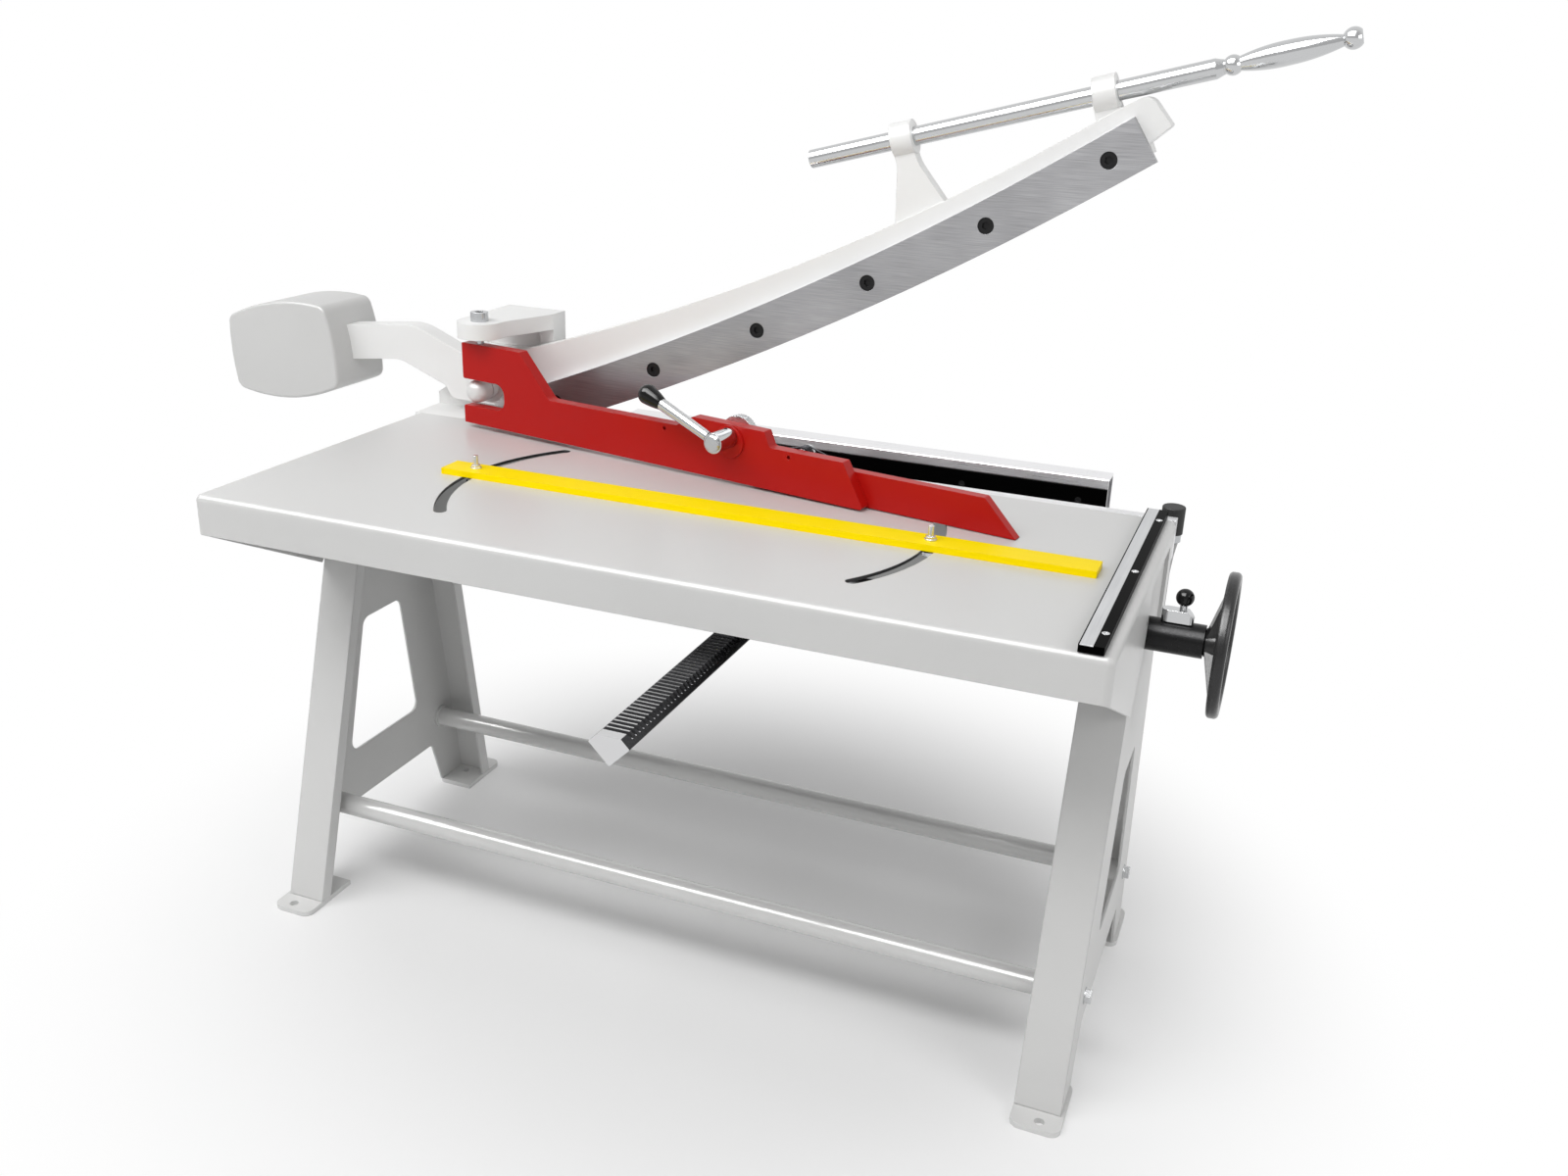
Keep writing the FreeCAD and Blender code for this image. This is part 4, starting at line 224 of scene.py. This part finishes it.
# Lower blade
# A hardened tool steel bar, ground on its top and cutting face, held from behind by socket screws.
# Fine grinding lines run along it, and the ground top is bright.
def ground_steel(name, colour, dark, roughness, line=0.0012, along=(1.0, 0.02, 1.0), edge=0.0004,
                 cloud=9.0):
    """Ground metal: noise stretched along the grinding lines shades, roughens and scores it.

    line is the spacing of the lines in metres, drawn coarser than real so that it shows, along
    the stretch of the noise on each axis, and cloud the scale of the larger patches.
    """
    made, tree = surface(name)
    place = add(tree, "TexCoord").outputs["Object"]
    lines = add(tree, "Mapping", {"Vector": place, "Scale": along})
    grind = add(tree, "TexNoise", {"Vector": lines.outputs[0], "Scale": 1 / line, "Detail": 3.0})
    patch = add(tree, "TexNoise", {"Vector": place, "Scale": cloud, "Detail": 4.0})
    mixed = add(tree, "Math", {0: grind.outputs[0], 1: patch.outputs[0]}, operation="ADD")
    shade = add(tree, "MapRange", {"Value": mixed.outputs[0], "From Min": 0.6, "From Max": 1.4})
    tint = add(tree, "Mix", {0: shade.outputs[0], 6: rgb(dark), 7: rgb(colour)}, data_type="RGBA")
    gloss = add(tree, "MapRange", {"Value": mixed.outputs[0], "From Min": 0.6, "From Max": 1.4,
                                   "To Min": roughness - 0.06, "To Max": roughness + 0.06})
    rounded = add(tree, "Bevel", {"Radius": edge}, samples=4)
    scored = add(tree, "Bump", {"Height": grind.outputs[0], "Distance": 0.00004, "Strength": 0.6,
                                "Normal": rounded.outputs[0]})
    metal = add(tree, "BsdfPrincipled", {"Base Color": tint.outputs[2], "Metallic": 1.0,
                                         "Roughness": gloss.outputs[0],
                                         "Normal": scored.outputs[0]})
    add(tree, "OutputMaterial", {"Surface": metal.outputs[0]})
    return made


ground_edge = ground_steel("ground_edge_steel", "#E8E8E9", "#D2D2D4", 0.3, along=(0.02, 1.0, 1.0))
# Painted reflection: on the upper blade the broad patches of lighter and darker tone stand in
# partly for mottled reflections along it and are partly the steel's own uneven tone.
blade_steel = ground_steel("ground_tool_steel", "#ACACAE", "#838385", 0.4, along=(0.02, 1.0, 1.0),
                           cloud=5.0)
dress(ground_edge, "lower_blade")
dress(blade_steel, "upper_blade")


# Screws and bolts
# Alloy steel socket screws with a black oxide skin, and bright zinc-plated hex screws and nuts.
# Oxide is a thin satin black that shows the turning marks of the head.
def oxide(name, colour, roughness):
    """Black oxide on steel: a dark skin with small patches that shine more."""
    made, tree = surface(name)
    place = add(tree, "TexCoord").outputs["Object"]
    patch = add(tree, "TexNoise", {"Vector": place, "Scale": 220.0, "Detail": 3.0})
    gloss = add(tree, "MapRange", {"Value": patch.outputs[0], "To Min": roughness - 0.1,
                                   "To Max": roughness + 0.1})
    rounded = add(tree, "Bevel", {"Radius": 0.0004}, samples=4)
    skin = add(tree, "BsdfPrincipled", {"Base Color": rgb(colour), "Roughness": gloss.outputs[0],
                                        "Normal": rounded.outputs[0], "Metallic": 0.6})
    add(tree, "OutputMaterial", {"Surface": skin.outputs[0]})
    return made


black_oxide = oxide("black_oxide", "#161617", 0.35)
bright_zinc = ground_steel("bright_zinc", "#DCDDDE", "#C0C1C3", 0.25, line=0.0006, along=(1, 1, 1))
dress(black_oxide, "lower_blade_screws", "blade_screws", "bracket_bolts", "carcase_screws",
      "gauge_screws", "extension_screws", "clamp_grub_screw", "lug_set_screws",
      "counterweight_bolts", "gauge_face_screws")
dress(bright_zinc, "leg_screws", "stretcher_bolts", "pivot_nut", "rail_screws", "stop_studs",
      "stop_nuts")


# Legs, feet and stretchers
# Folded 4 mm sheet, thick foot plates and round tubes, all sprayed in the same white enamel.
# The wide flats show the drift of the spray, and the tubes carry bright streaks along their tops.
leg_enamel = enamel("leg_enamel", "#D4D4D3", "#C9C9C8", 0.42, edge=0.004)
# Painted light: the feet wear a lighter copy of the legs' white enamel, standing in for the light
# on their tops.
lit_foot_enamel = enamel("lit_foot_enamel", "#DCDCDB", "#D0D0CF", 0.35)
tube_enamel = enamel("tube_enamel", "#D6D6D5", "#C8C8C7", 0.2, level=0.8)
dress(leg_enamel, "leg_left", "leg_right")
dress(lit_foot_enamel, "foot_plates")
dress(tube_enamel, "stretcher_tubes")


# Bracket, arm and counterweight
# Grey iron castings, dressed smooth and sprayed white, so the skin is softer and a little uneven.
# Corners are broad and rounded where the mould parted.
cast_enamel = enamel("white_cast_enamel", "#EAEAE9", "#E2E2E1", 0.42, edge=0.002, lumps=0.00012)
# Painted shade: the counterweight wears a greyer copy of the same white cast enamel, darker to
# stand in for the shade on its front.
shaded_weight_enamel = enamel("shaded_cast_enamel", "#CDCDCC", "#C4C4C3", 0.4, edge=0.002, lumps=0.00012)
dress(cast_enamel, "pivot_bracket", "arm_casting")
dress(shaded_weight_enamel, "counterweight")

# Pivot
# A turned pin whose domed front end and collar are painted over with the arm, in a bronze bush.
# Behind the arm its shank and thread are bare turned steel.
turned_steel = ground_steel("turned_steel", "#C9CACC", "#A4A6A8", 0.24, line=0.0008,
                            along=(1, 1, 1))
bronze = ground_steel("bearing_bronze", "#A8834A", "#8C6A38", 0.4, along=(1, 1, 1))
painted_pin = enamel("painted_pin_enamel", "#DCDCDB", "#D2D2D1", 0.3, lumps=0.0001, bare=0.22)
dress(painted_pin, "pivot_pin", "pivot_collar")
dress(bronze, "pivot_bush", "shaft_bushes")


# Handle bar and grip
# A hard chromed bar clamped in two lugs of the arm, with a turned and chromed grip on its end.
# Chrome is mirror bright with hardly a mark.
def chrome(name, colour, roughness):
    """Hard chrome: a bright metal with very faint clouding."""
    made, tree = surface(name)
    place = add(tree, "TexCoord").outputs["Object"]
    haze = add(tree, "TexNoise", {"Vector": place, "Scale": 40.0, "Detail": 4.0})
    gloss = add(tree, "MapRange", {"Value": haze.outputs[0], "To Min": roughness,
                                   "To Max": roughness + 0.06})
    rounded = add(tree, "Bevel", {"Radius": 0.0006}, samples=4)
    plate = add(tree, "BsdfPrincipled", {"Base Color": rgb(colour), "Metallic": 1.0,
                                         "Roughness": gloss.outputs[0],
                                         "Normal": rounded.outputs[0]})
    add(tree, "OutputMaterial", {"Surface": plate.outputs[0]})
    return made


def moulded(name, colour, roughness, grain=0.0008, level=0.5):
    """Moulded black plastic: a fine grain that only shows in the gloss."""
    made, tree = surface(name)
    place = add(tree, "TexCoord").outputs["Object"]
    fine = add(tree, "TexNoise", {"Vector": place, "Scale": 1 / grain, "Detail": 2.0})
    gloss = add(tree, "MapRange", {"Value": fine.outputs[0], "To Min": roughness - 0.05,
                                   "To Max": roughness + 0.05})
    rounded = add(tree, "Bevel", {"Radius": 0.0005}, samples=4)
    relief = add(tree, "Bump", {"Height": fine.outputs[0], "Distance": 0.00003, "Strength": 0.4,
                                "Normal": rounded.outputs[0]})
    plastic = add(tree, "BsdfPrincipled", {"Base Color": rgb(colour), "IOR": 1.5,
                                           "Roughness": gloss.outputs[0],
                                           "Specular IOR Level": level,
                                           "Normal": relief.outputs[0]})
    add(tree, "OutputMaterial", {"Surface": plastic.outputs[0]})
    return made


hard_chrome = chrome("hard_chrome", "#C4C5C6", 0.1)
black_phenolic = moulded("black_phenolic", "#050505", 0.14, level=0.3)
dress(hard_chrome, "handle_bar", "handle_grip", "clamp_lever", "clamp_hub", "clamp_disc",
      "clamp_shaft", "lock_lever")
dress(black_phenolic, "clamp_lever_cap", "lock_ball")


# Hold-down
# A thick steel plate and its extension in red enamel, swung on a socket screw under the bracket.
# The red is deep with a soft gloss, so that its top edges turn a little paler under the lamps.
red_enamel = enamel("red_enamel", "#B4140F", "#A8100C", 0.3, level=0.16)
spring_steel = oxide("blued_spring_steel", "#26262A", 0.3)
dress(red_enamel, "hold_down_beam", "hold_down_extension")
dress(turned_steel, "swing_bolt", "spring_bolt")
dress(spring_steel, "torsion_spring")


# Angle stop, side rail and buffer
# A yellow enamelled bar on bright studs, a black anodised rail with a pale scale strip let into
# it, and a rubber buffer on a turned seat.
yellow_enamel = enamel("yellow_enamel", "#FFE300", "#FADA00", 0.35, level=0.04)
scale_strip = ground_steel("brushed_scale_strip", "#CDCECF", "#B8B9BB", 0.38,
                           along=(1.0, 0.02, 1.0))
black_anodised = moulded("black_anodised_aluminium", "#030303", 0.3, level=0.01)
buffer_rubber = moulded("buffer_rubber", "#141414", 0.6, grain=0.0015)
grey_casting = enamel("grey_casting", "#8C8C8C", "#7E7E7E", 0.5, lumps=0.0002)
dress(yellow_enamel, "stop_bar")
dress(scale_strip, "rail_scale")
dress(black_anodised, "side_rail")
dress(buffer_rubber, "rubber_buffer")
dress(turned_steel, "buffer_seat")
dress(grey_casting, "buffer_bracket", "gauge_carrier", "rack_housing", "rack_rear_guide")


# Back gauge
# An aluminium box section with a black stop plate, carried by a square rack bar on its corner.
# The bar keeps its dark rolled skin, and its sawn end is bright; every face that points up is
# bright too, partly its milled top and partly painted light from above, and the milled tooth
# flanks stay dark as painted shade.
def rolled_bar(name, skin, cut_and_lit, roughness, front):
    """Rolled steel bar: a dark skin, bright metal on faces that point up and before front on Y; the
    bright up-facing faces are partly painted light from above.
    """
    made, tree = surface(name)
    coords = add(tree, "TexCoord")
    grain = add(tree, "TexNoise", {"Vector": coords.outputs["Object"], "Scale": 400.0,
                                   "Detail": 3.0})
    face = add(tree, "SeparateXYZ", {0: coords.outputs["Normal"]})
    place = add(tree, "SeparateXYZ", {0: coords.outputs["Object"]})
    sawn = add(tree, "Math", {0: place.outputs["Y"], 1: front}, operation="LESS_THAN")
    # Painted light: faces whose normal points up turn bright, and the tooth flanks, milled as well,
    # stay dark as painted shade; only the sawn end is bright for its own finish.
    worked_and_lit = add(tree, "Math", {0: sawn.outputs[0], 1: face.outputs["Z"]}, operation="MAXIMUM")
    bright = add(tree, "MapRange", {"Value": worked_and_lit.outputs[0], "From Min": 0.78,
                                    "From Max": 0.86})
    dark = add(tree, "Mix", {0: grain.outputs[0], 6: rgb(skin), 7: rgb("#565658")},
               data_type="RGBA")
    tint = add(tree, "Mix", {0: bright.outputs[0], 6: dark.outputs[2], 7: rgb(cut_and_lit)},
               data_type="RGBA")
    gloss = add(tree, "MapRange", {"Value": grain.outputs[0], "To Min": roughness - 0.06,
                                   "To Max": roughness + 0.06})
    bar = add(tree, "BsdfPrincipled", {"Base Color": tint.outputs[2], "Metallic": 0.9,
                                       "Roughness": gloss.outputs[0]})
    add(tree, "OutputMaterial", {"Surface": bar.outputs[0]})
    return made


rack_steel = rolled_bar("rolled_rack_steel", "#2C2C2E", "#D2D2D3", 0.36, -0.5518)
beam_aluminium = ground_steel("mill_finish_aluminium", "#EDEDEE", "#DFDFE1", 0.3,
                              along=(0.02, 1.0, 1.0))
dress(rack_steel, "rack_bar")
dress(turned_steel, "pinion", "gauge_shaft")
dress(beam_aluminium, "gauge_beam")
dress(black_anodised, "gauge_face")


# Gauge drive
# A flanged steel sleeve through the right leg with a blackened skin, and a cast handwheel in
# black enamel. A short lever with a ball knob clamps the sleeve.
wheel_enamel = enamel("black_wheel_enamel", "#1A1A1B", "#101011", 0.26, edge=0.002, lumps=0.0003)
blackened_sleeve = oxide("blackened_sleeve", "#141415", 0.3)
dress(blackened_sleeve, "gauge_sleeve")
dress(wheel_enamel, "handwheel")
